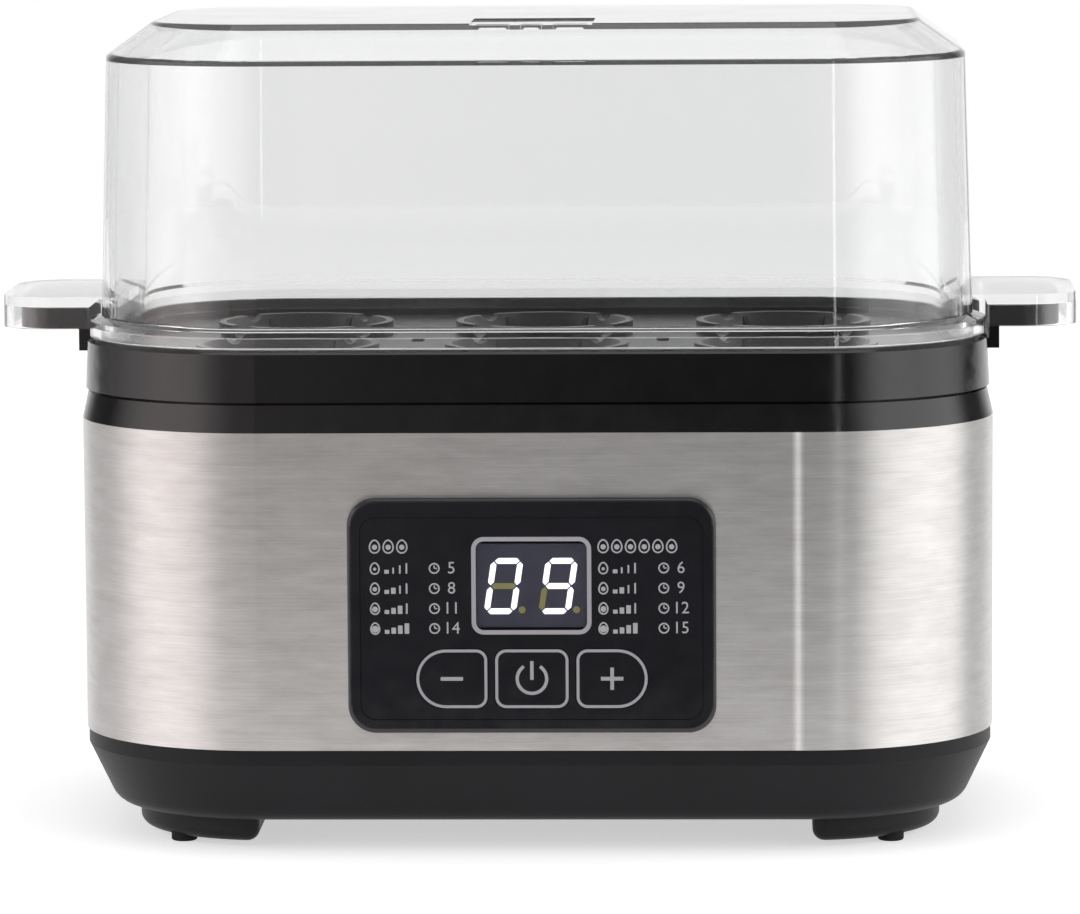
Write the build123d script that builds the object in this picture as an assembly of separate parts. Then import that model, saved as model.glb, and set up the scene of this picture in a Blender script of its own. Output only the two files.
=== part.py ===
from build123d import *
import math
import os

# Electric egg cooker for six eggs, in millimetres.
# X runs to the right seen from the front, Y to the back and Z up.
# The origin is under the middle of the body, on the surface that it stands on.
# Most pieces share the body's rounded outline, each drawn in by its own inset.

# Body outline
body_width = 212.0
body_depth = 142.0
body_corner = 43.5

# Heights of the stack, from the surface upwards
foot_height = 1.4
pad_height = 5.7
base_slope_height = 14.1
base_lip_height = 3.5
band_height = 72.7
collar_height = 6.2
tray_gap = 0.7
tray_ring_height = 11.8
lid_gap = 0.3
rim_height = 3.6
shoulder_height = 1.0
lid_wall_height = 60.2
bevel_height = 7.9

# Insets from the body outline
base_inset = 0.4
base_slope_run = 6.75
collar_top_inset = 1.4
tray_bottom_inset = 0.8
tray_top_inset = 1.4
rim_inset = 1.8
lid_wall_inset = 4.7
lid_wall_draft_run = 1.8
bevel_run = 11.0

# Base housing
base_wall = 2.5
base_bottom_radius = 5.0
tongue_height = 4.0
tongue_wall = 1.8
pad_edge_inset = 2.0
pad_inner_x = 63.7
pad_inner_y = 24.0
pad_end_round = 3.0
pad_edge_round = 2.6

# Feet and base screws
foot_radius = 3.0
foot_recess = 2.4
foot_clearance = 0.1
foot_edge_round = 0.5
foot_x = 81.9
foot_y = 47.1
post_x = 74.0
post_y = 38.0
post_radius = 4.0
boss_radius = 5.2
boss_top_z = 20.0
screw_recess_radius = 3.6
boss_roof = 3.0
screw_radius = 1.45
screw_head_radius = 2.9
screw_head_height = 2.2
screw_bite = 11.0
screw_clearance = 0.05
through_clearance = 0.35

# Cord gland at the back
gland_x = 62.0
gland_z = 15.6
gland_bore_radius = 3.6
gland_body_radius = 5.2
gland_flange_radius = 6.8
gland_flange = 1.4
gland_lip = 1.2
gland_lip_radius = 5.9
gland_clearance = 0.1
gland_pocket_clearance = 0.3
gland_boss_width = 18.0
gland_boss_height = 15.2
gland_boss_depth = 12.0
gland_wall = 3.0

# Steel band
band_thickness = 0.6
band_seam = 0.3
band_clearance = 0.15

# Upper housing
housing_wall = 2.0
housing_gap = 0.3
collar_wall = 2.8
deck_thickness = 2.0
deck_opening_inset = 15.0
web_thickness = 2.0
web_bottom_z = 34.0

# Bowl and seal
bowl_thickness = 1.2
bowl_inset = 17.0
bowl_depth = 20.0
bowl_draft_run = 2.8
bowl_bottom_radius = 6.0
flange_inset = 5.2
seal_thickness = 1.2
seal_outer_inset = 6.2
seal_inner_inset = 13.0

# Bowl straps
strap_width = 12.0
strap_side_gap = 2.0
strap_wall_gap = 1.4
strap_thickness = 1.5
strap_clearance = 1.0
strap_boss_height = 8.0
strap_boss_radius = 3.6
strap_screw_length = 8.0

# Heating parts
spreader_width = 124.0
spreader_depth = 72.0
spreader_corner = 30.0
spreader_thickness = 3.0
element_radius = 3.25
element_margin = 13.5
element_corner = 20.0
element_gap = 0.25
element_mouth = 34.0
element_tail = 12.0
pin_radius = 1.2
pin_length = 6.0
pin_bite = 1.0
clamp_thickness = 1.0
clamp_width = 9.0
clamp_ear = 8.0
clamp_clearance = 0.2
clamp_screw_radius = 1.4
clamp_screw_head_radius = 2.6
clamp_screw_head_height = 1.6
sensor_radius = 6.0
sensor_height = 5.0
sensor_neck_radius = 3.4
sensor_neck_height = 4.0
bracket_width = 9.0
bracket_thickness = 0.8
bracket_span = 34.0
fuse_body_radius = 2.2
fuse_body_length = 12.0
fuse_lead_radius = 0.5
fuse_lead_length = 8.0
fuse_y = 13.5
fuse_ear = 2.5

# Heat shield
shield_thickness = 0.8
shield_inset = 6.5
shield_lip = 5.0
shield_clearance = 3.0
shield_air = 5.8
shield_hole_radius = 5.0

# Front panel, seen from the front, depths counted back from the band's face
panel_middle_z = 55.2
frame_width = 83.7
frame_height = 53.8
frame_rise = 0.6
frame_corner = 6.4
frame_proud = 1.4
frame_edge_round = 1.1
overlay_width = 77.7
overlay_height = 46.2
overlay_corner = 3.4
overlay_recess = 0.3
overlay_thickness = 0.5
overlay_clearance = 0.1
frame_web = 1.5
frame_neck_width = 78.3
frame_neck_height = 47.2
frame_neck_corner = 3.4
frame_neck_wall = 1.6
window_clearance = 0.2
barb_length = 12.0
barb_height = 0.9
barb_depth = 2.0

# Display
display_width = 27.2
display_height = 22.3
display_corner = 2.8
display_x = 0.0
display_z = 7.5
display_gap = 0.3
module_width = 25.2
module_height = 19.0
module_clearance = 0.2
window_thickness = 0.5

# Keys
key_width = 16.2
power_key_width = 16.7
key_height = 13.5
key_corner = 2.5
key_pitch = 18.2
key_z = -13.8
key_clearance = 0.2
key_travel = 0.4
key_stop_gap = 0.2
key_flange = 1.0
key_flange_lap = 0.8
key_stem_radius = 2.0
key_stem_length = 2.3
plunger_radius = 1.6
plunger_proud = 1.0
plunger_sunk = 1.2
plunger_clearance = 0.15
switch_size = 6.0
switch_depth = 3.5
switch_well_spare = 0.5

# Control board
board_thickness = 1.6
control_board_width = 77.0
control_board_height = 46.0
control_board_corner = 2.0
control_boss_x = 34.5
control_boss_z = 19.0
control_boss_radius = 2.6
small_screw_radius = 1.0
small_screw_head_radius = 1.9
small_screw_head_height = 1.3
small_screw_length = 6.0
buzzer_radius = 6.0
buzzer_height = 6.5
buzzer_x = 24.0
buzzer_z = 6.0
buzzer_hole_radius = 1.0

# Power board
power_board_width = 104.0
power_board_depth = 58.0
power_board_y = 4.0
power_board_z = 18.0
power_boss_radius = 3.2
power_boss_margin = 5.0
component_edge = 0.8
relay_size = (19.0, 15.5, 15.3)
relay_place = (-34.0, 14.0)
film_size = (18.0, 8.5, 14.5)
film_place = (4.0, 22.0)
can_radius = 5.0
can_height = 15.0
can_pitch = 12.0
can_place = (6.0, -10.0)
choke_outer_radius = 8.0
choke_inner_radius = 3.6
choke_thickness = 7.0
choke_place = (-8.0, 4.0)
choke_foot_width = 11.0
choke_foot_height = 2.0
fuse_cap_radius = 2.6
fuse_glass_radius = 2.4
fuse_lift = 1.0
fuse_clip_width = 3.0
fuse_clip_length = 2.0
fuse_tube_length = 20.0
fuse_cap_length = 5.0
fuse_place = (27.0, 2.0)
terminal_size = (10.0, 24.0, 11.0)
terminal_place = (44.0, 6.0)
terminal_count = 3
terminal_hole_radius = 1.8
terminal_screw_depth = 3.0

# Ribbon cable between the boards
ribbon_width = 14.0
ribbon_thickness = 0.9
ribbon_x = -20.0
header_depth = 6.0
header_height = 5.0
ribbon_header_z = -10.0
ribbon_drop_y = 12.0
ribbon_bend_share = 0.6
header_margin = 1.5

# Egg tray
tray_wall = 3.2
tray_chamfer = 1.0
tray_floor_drop = 3.9
tray_floor_thickness = 2.0
skirt_clearance = 0.6
skirt_wall = 2.0
groove_roof = 1.4
ring_lower_wall = 2.9
well_pitch_x = 58.0
well_pitch_y = 57.0
well_columns = 3
well_rows = 2
well_rim_radius = 21.4
well_rim_height = 1.9
well_wall = 1.6
well_top_radius = 19.6
well_bottom_radius = 15.2
well_bottom_gap = 0.9
well_notch_radius = 3.2
well_notches = 4
well_notch_lift = 1.6
well_ribs = 6
well_rib_thickness = 1.2
well_rib_depth = 1.3
well_rib_root = 0.6
well_rib_drop = 1.0
well_notch_length = 8.0
steam_slot_length = 13.0
steam_slot_width = 3.0

# Handles of the tray
riser_inner_x = 105.4
riser_thickness = 2.4
riser_half_width = 20.0
riser_drop = 4.6
tray_handle_end_x = 122.0
tray_handle_half_width = 22.5
tray_handle_corner = 9.0
tray_handle_height = 4.7
tray_handle_thickness = 2.2
tray_handle_wall = 1.8
tray_handle_gap = 0.3

# Lid
lid_thickness = 2.5
lip_clearance = 0.4
lip_wall = 1.6
lip_depth = 2.7
lid_edge_round = 1.2
handle_lift = 0.6
handle_end_x = 126.0
handle_half_width = 25.0
handle_corner = 11.0
handle_wall = 2.0
handle_top_thickness = 2.5
handle_cavity_inner_x = 104.9
handle_height = 7.5
vent_width = 28.0
vent_length = 28.0
vent_recess = 0.4
vent_overrun = 1.4
vent_edge = 2.4
vent_slots = 3
vent_slot_pitch = 8.8
vent_slot_length = 8.2
vent_middle_slot_length = 5.4
vent_slot_width = 3.0

# Levels worked out from the heights above
pad_bottom_z = foot_height
base_bottom_z = pad_bottom_z + pad_height
base_lip_z = base_bottom_z + base_slope_height
base_top_z = base_lip_z + base_lip_height
band_top_z = base_top_z + band_height
collar_top_z = band_top_z + collar_height
tray_bottom_z = collar_top_z + tray_gap
tray_top_z = tray_bottom_z + tray_ring_height
rim_bottom_z = tray_top_z + lid_gap
rim_top_z = rim_bottom_z + rim_height
shoulder_top_z = rim_top_z + shoulder_height
bevel_bottom_z = shoulder_top_z + lid_wall_height
lid_top_z = bevel_bottom_z + bevel_height
deck_top_z = band_top_z + deck_thickness
flange_bottom_z = deck_top_z + seal_thickness
flange_top_z = flange_bottom_z + bowl_thickness
bowl_floor_z = flange_top_z - bowl_depth
bowl_underside_z = bowl_floor_z - bowl_thickness
tray_floor_z = tray_top_z - tray_floor_drop
tray_underside_z = tray_floor_z - tray_floor_thickness
spreader_bottom_z = bowl_underside_z - spreader_thickness
element_z = spreader_bottom_z - element_gap - element_radius
sensor_bottom_z = spreader_bottom_z - sensor_height - sensor_neck_height
post_top_z = sensor_bottom_z - shield_air - shield_thickness
web_top_z = post_top_z - shield_lip - housing_gap
pad_root_z = base_bottom_z + base_wall / 2
handle_bottom_z = rim_bottom_z + handle_lift
handle_top_z = handle_bottom_z + handle_height
handle_roof_z = handle_top_z - handle_top_thickness
tray_handle_top_z = handle_roof_z - tray_handle_gap
power_top_z = power_board_z + board_thickness

# Insets and depths worked out from the sizes above
housing_inset = band_thickness + band_clearance
collar_inner_inset = collar_top_inset + collar_wall
skirt_inset = collar_inner_inset + skirt_clearance
lid_top_inset = lid_wall_inset + lid_wall_draft_run
plateau_inset = lid_top_inset + bevel_run
housing_inner_inset = housing_inset + housing_wall
element_width = spreader_width - 2 * element_margin
element_depth = spreader_depth - 2 * element_margin
strap_x = spreader_width / 2 + strap_side_gap + strap_width / 2
front_y = -body_depth / 2
back_y = body_depth / 2
overlay_front = overlay_recess - frame_proud
overlay_back = overlay_front + overlay_thickness
web_back = overlay_back + frame_web
key_flange_front = web_back + key_stop_gap
key_flange_back = key_flange_front + key_flange
stem_back = key_flange_back + key_stem_length
switch_front = stem_back + plunger_proud
control_board_front = switch_front + switch_depth
control_board_back = control_board_front + board_thickness


def outline(inset, z):
    """The body's rounded rectangle, drawn in by an inset, at a height."""
    plan = RectangleRounded(body_width - 2 * inset, body_depth - 2 * inset, body_corner - inset)
    return Pos(0, 0, z) * plan


def block(z_low, z_high, inset, top_inset=None):
    """Solid on the body's outline, with walls that may lean in or out with height."""
    height = z_high - z_low
    run = 0.0 if top_inset is None else top_inset - inset
    return extrude(outline(inset, z_low), height, taper=math.degrees(math.atan2(run, height)))


def ring(z_low, z_high, inset, wall):
    """Upright wall that follows the body's outline."""
    return block(z_low, z_high, inset) - block(z_low, z_high, inset + wall)


def side_y(x, inset):
    """How far the outline reaches to the back at a place along X, at an inset."""
    past_corner = max(0.0, x - (body_width / 2 - body_corner))
    return body_depth / 2 - body_corner + math.sqrt((body_corner - inset) ** 2 - past_corner**2)


def drum(x, y, z_low, z_high, radius):
    """Upright cylinder between two heights."""
    return Pos(x, y, (z_low + z_high) / 2) * Cylinder(radius, z_high - z_low)


def bar(x_low, x_high, y_low, y_high, z_low, z_high):
    """Straight block between two corners."""
    middle = Pos((x_low + x_high) / 2, (y_low + y_high) / 2, (z_low + z_high) / 2)
    return middle * Box(x_high - x_low, y_high - y_low, z_high - z_low)


def panel_block(shape, front, back):
    """Flat shape drawn on the panel, extruded between two depths behind the band's face."""
    plane = Plane(origin=(0, front_y + back, panel_middle_z), x_dir=(1, 0, 0), z_dir=(0, -1, 0))
    return extrude(plane * shape, back - front)


def corners(x, y):
    """Four places, one in each corner."""
    return [(way_x * x, way_y * y) for way_x in (-1, 1) for way_y in (-1, 1)]


def screw(x, y, z_seat, length, up=True):
    """Pan head screw whose head seats at a height, its shank running up or down."""
    return pin_screw(x, y, z_seat, length, up, screw_radius, screw_head_radius, screw_head_height)


def small_screw(x, y, z_seat, length):
    """Screw of the size that holds the boards, its shank running down."""
    return pin_screw(x, y, z_seat, length, False, small_screw_radius, small_screw_head_radius,
                     small_screw_head_height)


def pin_screw(x, y, z_seat, length, up, radius, head_radius, head_height):
    way = 1 if up else -1
    shank_low, shank_high = sorted((z_seat, z_seat + way * length))
    head_low, head_high = sorted((z_seat, z_seat - way * head_height))
    return drum(x, y, shank_low, shank_high, radius) + drum(x, y, head_low, head_high, head_radius)


# Base
def base_form(extra):
    """Outside of the base, drawn in by an extra inset on every side."""
    slope_bottom = base_bottom_z + extra
    lip = block(base_lip_z, base_top_z, base_inset + extra)
    run = base_slope_run * (base_lip_z - slope_bottom) / base_slope_height
    slope = block(slope_bottom, base_lip_z, base_inset + extra + run, base_inset + extra)
    form = lip + slope
    return fillet(form.edges().group_by(Axis.Z)[0], base_bottom_radius - extra)


def foot_pads():
    """Four pads that follow the corners of the base."""
    lean = math.atan2(base_slope_run, base_slope_height)
    flat_inset = base_inset + base_slope_run + base_bottom_radius * math.tan((math.pi / 2 - lean) / 2)
    body = block(pad_bottom_z, pad_root_z, flat_inset + pad_edge_inset)
    pads = []
    for way_x, way_y in corners(1, 1):
        low_x, high_x = sorted((way_x * pad_inner_x, way_x * body_width / 2))
        low_y, high_y = sorted((way_y * pad_inner_y, way_y * body_depth / 2))
        pad = body & bar(low_x, high_x, low_y, high_y, pad_bottom_z, pad_root_z)
        ends = []
        for edge in pad.edges().filter_by(Axis.Z):
            middle = edge.center()
            if min(abs(abs(middle.X) - pad_inner_x), abs(abs(middle.Y) - pad_inner_y)) < 0.01:
                ends.append(edge)
        pad = fillet(ends, pad_end_round)
        pads.append(fillet(pad.edges().group_by(Axis.Z)[0], pad_edge_round))
    return pads


def base_housing():
    shell = base_form(0) - base_form(base_wall)
    shell += ring(base_lip_z, base_top_z + tongue_height, housing_inset, tongue_wall)
    shell += foot_pads()
    boss = bar(gland_x - gland_boss_width / 2, gland_x + gland_boss_width / 2, back_y - gland_boss_depth,
               back_y, gland_z - gland_boss_height / 2, gland_z + gland_boss_height / 2)
    shell += boss - base_form(base_wall)
    reach = gland_lip_radius + gland_pocket_clearance
    shell -= bar(gland_x - reach, gland_x + reach, back_y - gland_boss_depth, back_y - gland_wall,
                 gland_z - reach, gland_z + reach)
    shell -= gland_rod(gland_body_radius + gland_clearance, back_y - gland_boss_depth, back_y)
    for x, y in corners(post_x, post_y):
        shell += drum(x, y, pad_root_z, boss_top_z, boss_radius)
        shell -= drum(x, y, pad_bottom_z, boss_top_z - boss_roof, screw_recess_radius)
        shell -= drum(x, y, boss_top_z - boss_roof, boss_top_z, screw_radius + through_clearance)
    for x, y in corners(foot_x, foot_y):
        shell -= drum(x, y, pad_bottom_z, pad_bottom_z + foot_recess, foot_radius + foot_clearance)
    for x, y in power_board_bosses():
        boss = drum(x, y, pad_root_z, power_board_z, power_boss_radius)
        shell += boss
        shell -= drum(x, y, power_board_z - small_screw_length, power_board_z,
                      small_screw_radius + screw_clearance)
    return shell


def rubber_feet():
    feet = []
    for x, y in corners(foot_x, foot_y):
        foot = drum(x, y, 0, pad_bottom_z + foot_recess, foot_radius)
        feet.append(fillet(foot.edges().group_by(Axis.Z)[0], foot_edge_round))
    return feet


def base_screws():
    seat = boss_top_z - boss_roof
    return [screw(x, y, seat, boss_roof + screw_bite) for x, y in corners(post_x, post_y)]


def gland_rod(radius, y_low, y_high):
    """Cylinder along the cord's hole."""
    return Pos(gland_x, (y_low + y_high) / 2, gland_z) * Rot(90, 0, 0) * Cylinder(radius, y_high - y_low)


def cord_gland():
    """Bushing that lines the cord hole, with a flange outside and a lip inside."""
    inner_end = back_y - gland_wall - gland_lip
    bush = gland_rod(gland_body_radius, inner_end, back_y)
    bush += gland_rod(gland_flange_radius, back_y, back_y + gland_flange)
    bush += gland_rod(gland_lip_radius, inner_end, back_y - gland_wall)
    return bush - gland_rod(gland_bore_radius, inner_end, back_y + gland_flange)


# Body
def panel_hole(clearance, depth_low, depth_high):
    shape = RectangleRounded(frame_neck_width + 2 * clearance, frame_neck_height + 2 * clearance,
                             frame_neck_corner + clearance)
    return panel_block(shape, depth_low, depth_high)


def steel_band():
    band = ring(base_top_z, band_top_z, 0, band_thickness)
    band -= panel_hole(window_clearance, -1.0, 2.0)
    seam = bar(-band_seam / 2, band_seam / 2, back_y - band_thickness, back_y, base_top_z, band_top_z)
    return band - seam


def upper_housing():
    collar = block(band_top_z, collar_top_z, 0, collar_top_inset)
    collar -= block(deck_top_z, collar_top_z, collar_inner_inset)
    wall_bottom_z = base_top_z + tongue_height + housing_gap
    wall = block(wall_bottom_z, band_top_z, housing_inset)
    wall -= block(wall_bottom_z, band_top_z, housing_inner_inset)
    body = collar + wall
    body -= block(band_top_z, deck_top_z, deck_opening_inset)
    corner_x = body_width / 2 - body_corner
    corner_y = body_depth / 2 - body_corner
    reach = body_corner - housing_inset - housing_wall / 2
    for x, y in corners(1, 1):
        post = drum(x * post_x, y * post_y, boss_top_z, post_top_z, post_radius)
        web_length = reach - math.hypot(post_x - corner_x, post_y - corner_y)
        angle = math.degrees(math.atan2(y * (post_y - corner_y), x * (post_x - corner_x)))
        web = Pos(x * post_x, y * post_y, (web_bottom_z + web_top_z) / 2) * Rot(0, 0, angle)
        web *= Pos(web_length / 2, 0, 0) * Box(web_length, web_thickness, web_top_z - web_bottom_z)
        body += post + web
        body -= drum(x * post_x, y * post_y, boss_top_z, post_top_z, screw_radius + screw_clearance)
    for x, y in strap_screw_places():
        body += drum(x, y, band_top_z - strap_boss_height, band_top_z + deck_thickness / 2, strap_boss_radius)
        hole_bottom_z = band_top_z - strap_boss_height
        body -= drum(x, y, hole_bottom_z, hole_bottom_z + strap_screw_length, screw_radius + screw_clearance)
    body -= panel_hole(window_clearance * 2, 0, housing_inner_inset + 1.0)
    return body


# Bowl
def bowl_form(extra, z_low, z_high):
    """The bowl's well, drawn in by an extra inset."""
    form = block(z_low, z_high, bowl_inset + bowl_draft_run + extra, bowl_inset + extra)
    return fillet(form.edges().group_by(Axis.Z)[0], bowl_bottom_radius - extra)


def water_bowl():
    bowl = block(flange_bottom_z, flange_top_z, flange_inset)
    bowl += bowl_form(0, bowl_underside_z, flange_top_z)
    return bowl - bowl_form(bowl_thickness, bowl_floor_z, flange_top_z)


def bowl_seal():
    return ring(deck_top_z, flange_bottom_z, seal_outer_inset, seal_inner_inset - seal_outer_inset)


def strap_sides():
    """Along Y, the inner face of a strap's leg and the end of its tab, clear of the bowl and the wall."""
    leg = side_y(strap_x - strap_width / 2, bowl_inset) + strap_clearance
    end = side_y(strap_x + strap_width / 2, housing_inner_inset) - strap_wall_gap
    return leg, end


def strap_screw_places():
    leg, end = strap_sides()
    return corners(strap_x, (leg + strap_thickness + end) / 2)


def bowl_straps():
    """Two hat-shaped steel straps that hold the bowl down on its seal."""
    leg, end = strap_sides()
    outer = leg + strap_thickness
    tab_top_z = band_top_z - strap_boss_height
    straps = []
    for side in (-1, 1):
        low_x = side * strap_x - strap_width / 2
        high_x = side * strap_x + strap_width / 2
        strap = bar(low_x, high_x, -outer, outer, bowl_underside_z - strap_thickness, tab_top_z)
        strap -= bar(low_x, high_x, -leg, leg, bowl_underside_z, tab_top_z)
        for way in (-1, 1):
            low_y, high_y = sorted((way * leg, way * end))
            strap += bar(low_x, high_x, low_y, high_y, tab_top_z - strap_thickness, tab_top_z)
        for x, y in strap_screw_places():
            strap -= drum(x, y, tab_top_z - strap_thickness, tab_top_z, screw_radius + through_clearance)
        straps.append(strap)
    return straps


def strap_screws():
    seat = band_top_z - strap_boss_height - strap_thickness
    return [screw(x, y, seat, strap_screw_length) for x, y in strap_screw_places()]


# Heating parts
def heat_spreader():
    plan = Pos(0, 0, spreader_bottom_z) * RectangleRounded(spreader_width, spreader_depth, spreader_corner)
    return extrude(plan, spreader_thickness)


def element_path():
    """Loop with its mouth at the back, both ends turned down."""
    x = element_width / 2
    y = element_depth / 2
    mouth = element_mouth / 2
    z = element_z
    points = [(-mouth, y, z - element_tail), (-mouth, y, z), (-x, y, z), (-x, -y, z), (x, -y, z), (x, y, z),
              (mouth, y, z), (mouth, y, z - element_tail)]
    bend = element_radius * 2
    return FilletPolyline(points, radius=[bend, element_corner, element_corner, element_corner,
                                          element_corner, bend])


def heating_element():
    """Sheathed tube with a thin terminal pin in each end."""
    path = element_path()
    section = Plane(origin=path @ 0, z_dir=path % 0) * Circle(element_radius)
    tube = sweep(section, path=path)
    bottom = element_z - element_tail
    for side in (-1, 1):
        tube += drum(side * element_mouth / 2, element_depth / 2, bottom - pin_length, bottom + pin_bite,
                     pin_radius)
    return tube


def clamp_places():
    """Where the element is clamped: middle of the two sides and the front run."""
    return [(-element_width / 2, 0, 0), (element_width / 2, 0, 0), (0, -element_depth / 2, 90)]


def saddle(inner, thickness, width, top, ear, sides):
    """Sheet metal arch under a tube along Y, open at its top, with an ear on each given side."""
    outer = inner + thickness
    arch = Rot(90, 0, 0) * Cylinder(outer, width)
    arch += Pos(0, 0, top / 2) * Box(2 * outer, width, top)
    arch &= bar(-outer, outer, -width / 2, width / 2, -outer, top)
    arch -= Rot(90, 0, 0) * Cylinder(inner, width)
    arch -= bar(-inner, inner, -width / 2, width / 2, 0, top)
    for side in sides:
        low_x, high_x = sorted((side * inner, side * (outer + ear)))
        arch += bar(low_x, high_x, -width / 2, width / 2, top - thickness, top)
    return arch


def element_clamps():
    """Saddles of sheet metal, an arch over the tube with an ear on each side."""
    top = spreader_bottom_z - element_z
    inner = element_radius + clamp_clearance
    arch = saddle(inner, clamp_thickness, clamp_width, top, clamp_ear, (-1, 1))
    for side in (-1, 1):
        hole_x = side * (inner + clamp_thickness + clamp_ear / 2)
        arch -= drum(hole_x, 0, top - clamp_thickness, top, clamp_screw_radius + through_clearance)
    return [Pos(x, y, element_z) * Rot(0, 0, turn) * arch for x, y, turn in clamp_places()]


def clamp_screws():
    reach = element_radius + clamp_clearance + clamp_thickness + clamp_ear / 2
    seat = spreader_bottom_z - clamp_thickness
    screws = []
    for x, y, turn in clamp_places():
        for side in (-1, 1):
            dx = side * reach * math.cos(math.radians(turn))
            dy = side * reach * math.sin(math.radians(turn))
            screws.append(pin_screw(x + dx, y + dy, seat, clamp_thickness, True, clamp_screw_radius,
                                    clamp_screw_head_radius, clamp_screw_head_height))
    return screws


def temperature_sensor():
    """Stepped cup pressed against the spreader."""
    shoulder_z = spreader_bottom_z - sensor_height
    cup = drum(0, 0, shoulder_z, spreader_bottom_z, sensor_radius)
    neck = drum(0, 0, shoulder_z - sensor_neck_height, shoulder_z, sensor_neck_radius)
    return cup + neck


def sensor_bracket():
    """Bridge of spring strip that presses the sensor up, with feet under the spreader."""
    half = bracket_span / 2
    low = spreader_bottom_z - sensor_height - bracket_thickness
    bridge = bar(-half, half, -bracket_width / 2, bracket_width / 2, low, spreader_bottom_z)
    bridge -= bar(-half + bracket_thickness, half - bracket_thickness, -bracket_width / 2, bracket_width / 2,
                  low + bracket_thickness, spreader_bottom_z)
    for side in (-1, 1):
        low_x, high_x = sorted((side * half, side * (half + clamp_ear)))
        bridge += bar(low_x, high_x, -bracket_width / 2, bracket_width / 2,
                      spreader_bottom_z - bracket_thickness, spreader_bottom_z)
    return bridge - drum(0, 0, low, low + bracket_thickness, sensor_neck_radius + clamp_clearance)


def thermal_fuse():
    """Small cylinder with a lead at each end, lying under the spreader."""
    z = spreader_bottom_z - fuse_body_radius - element_gap
    turn = Pos(0, fuse_y, z) * Rot(0, 90, 0)
    leads = Cylinder(fuse_lead_radius, fuse_body_length + 2 * fuse_lead_length)
    return turn * (Cylinder(fuse_body_radius, fuse_body_length) + leads)


def fuse_clip():
    """Half round clip that holds the thermal fuse, with one ear."""
    top = fuse_body_radius + element_gap
    inner = fuse_body_radius + clamp_clearance
    clip = saddle(inner, bracket_thickness, fuse_body_length / 2, top, fuse_ear, (1,))
    return Pos(0, fuse_y, spreader_bottom_z - top) * Rot(0, 0, 90) * clip


def heat_shield():
    """Sheet tray upside down on the four posts, holed for the element's leads."""
    top = post_top_z + shield_thickness
    shield = block(post_top_z - shield_lip, top, shield_inset)
    shield -= block(post_top_z - shield_lip, post_top_z, shield_inset + shield_thickness)
    for x, y in corners(post_x, post_y):
        shield -= drum(x, y, post_top_z, top, screw_radius + through_clearance)
    for side in (-1, 1):
        shield -= drum(side * element_mouth / 2, element_depth / 2, post_top_z, top, shield_hole_radius)
    notch_x = frame_neck_width / 2 + shield_clearance
    notch_y = front_y + control_board_back + buzzer_height + shield_clearance
    return shield - bar(-notch_x, notch_x, front_y, notch_y, post_top_z - shield_lip, top)


def shield_screws():
    seat = post_top_z + shield_thickness
    return [screw(x, y, seat, strap_screw_length, up=False) for x, y in corners(post_x, post_y)]


# Front panel
def key_shape(width, round_side, grow):
    """Outline of a key: a rounded box, with a half round end on one side or on none."""
    height = key_height + 2 * grow
    half = width / 2 + grow
    box = RectangleRounded(2 * half, height, key_corner + grow)
    if round_side == 0:
        return box
    end = height / 2
    centre = round_side * (half - end)
    square_low, square_high = sorted((-round_side * half, centre + round_side * (key_corner + grow)))
    square = Pos((square_low + square_high) / 2, 0) * RectangleRounded(square_high - square_low, height,
                                                                       key_corner + grow)
    return square + Pos(centre, 0) * Circle(end)


def key_list():
    """Name, width, rounded side and place of each key."""
    return [("minus", key_width, -1, -key_pitch), ("power", power_key_width, 0, 0.0),
            ("plus", key_width, 1, key_pitch)]


def key_holes(grow, front, back):
    holes = []
    for name, width, round_side, x in key_list():
        holes.append(panel_block(Pos(x, key_z) * key_shape(width, round_side, grow), front, back))
    return holes


def display_shape(grow):
    shape = RectangleRounded(display_width + 2 * grow, display_height + 2 * grow, display_corner + grow)
    return Pos(display_x, display_z) * shape


def panel_frame():
    """Bezel with a recess for the overlay, and a neck that carries the control board."""
    outline = Pos(0, frame_rise) * RectangleRounded(frame_width, frame_height, frame_corner)
    face = panel_block(outline, -frame_proud, 0)
    face = fillet(face.edges().group_by(Axis.Y)[0], frame_edge_round)
    neck = panel_block(RectangleRounded(frame_neck_width, frame_neck_height, frame_neck_corner), 0,
                       control_board_front)
    recess = RectangleRounded(overlay_width + 2 * overlay_clearance, overlay_height + 2 * overlay_clearance,
                              overlay_corner + overlay_clearance)
    inside = RectangleRounded(frame_neck_width - 2 * frame_neck_wall, frame_neck_height - 2 * frame_neck_wall,
                              frame_neck_corner - frame_neck_wall)
    frame = face + neck
    frame -= panel_block(recess, -frame_proud, overlay_back)
    frame -= panel_block(inside, web_back, control_board_front)
    for x, z in corners(control_boss_x, control_boss_z):
        frame += panel_block(Pos(x, z) * Circle(control_boss_radius), overlay_back, control_board_front)
        frame -= panel_block(Pos(x, z) * Circle(small_screw_radius + screw_clearance),
                             control_board_front - small_screw_length, control_board_front)
    module_hole = Rectangle(module_width + 2 * module_clearance, module_height + 2 * module_clearance)
    frame -= panel_block(Pos(display_x, display_z) * module_hole, overlay_back, web_back)
    for hole in key_holes(key_clearance, overlay_back, web_back):
        frame -= hole
    wall_back = housing_inner_inset + window_clearance
    for side in (-1, 1):
        shape = Pos(0, side * (frame_neck_height / 2 + barb_height / 2)) * Rectangle(barb_length, barb_height)
        frame += panel_block(shape, wall_back, wall_back + barb_depth)
    return frame


def panel_overlay():
    plan = RectangleRounded(overlay_width, overlay_height, overlay_corner)
    sheet = panel_block(plan, overlay_front, overlay_back)
    for hole in key_holes(key_clearance, overlay_front, overlay_back):
        sheet -= hole
    return sheet - panel_block(display_shape(overlay_clearance / 2), overlay_front, overlay_back)


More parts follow.
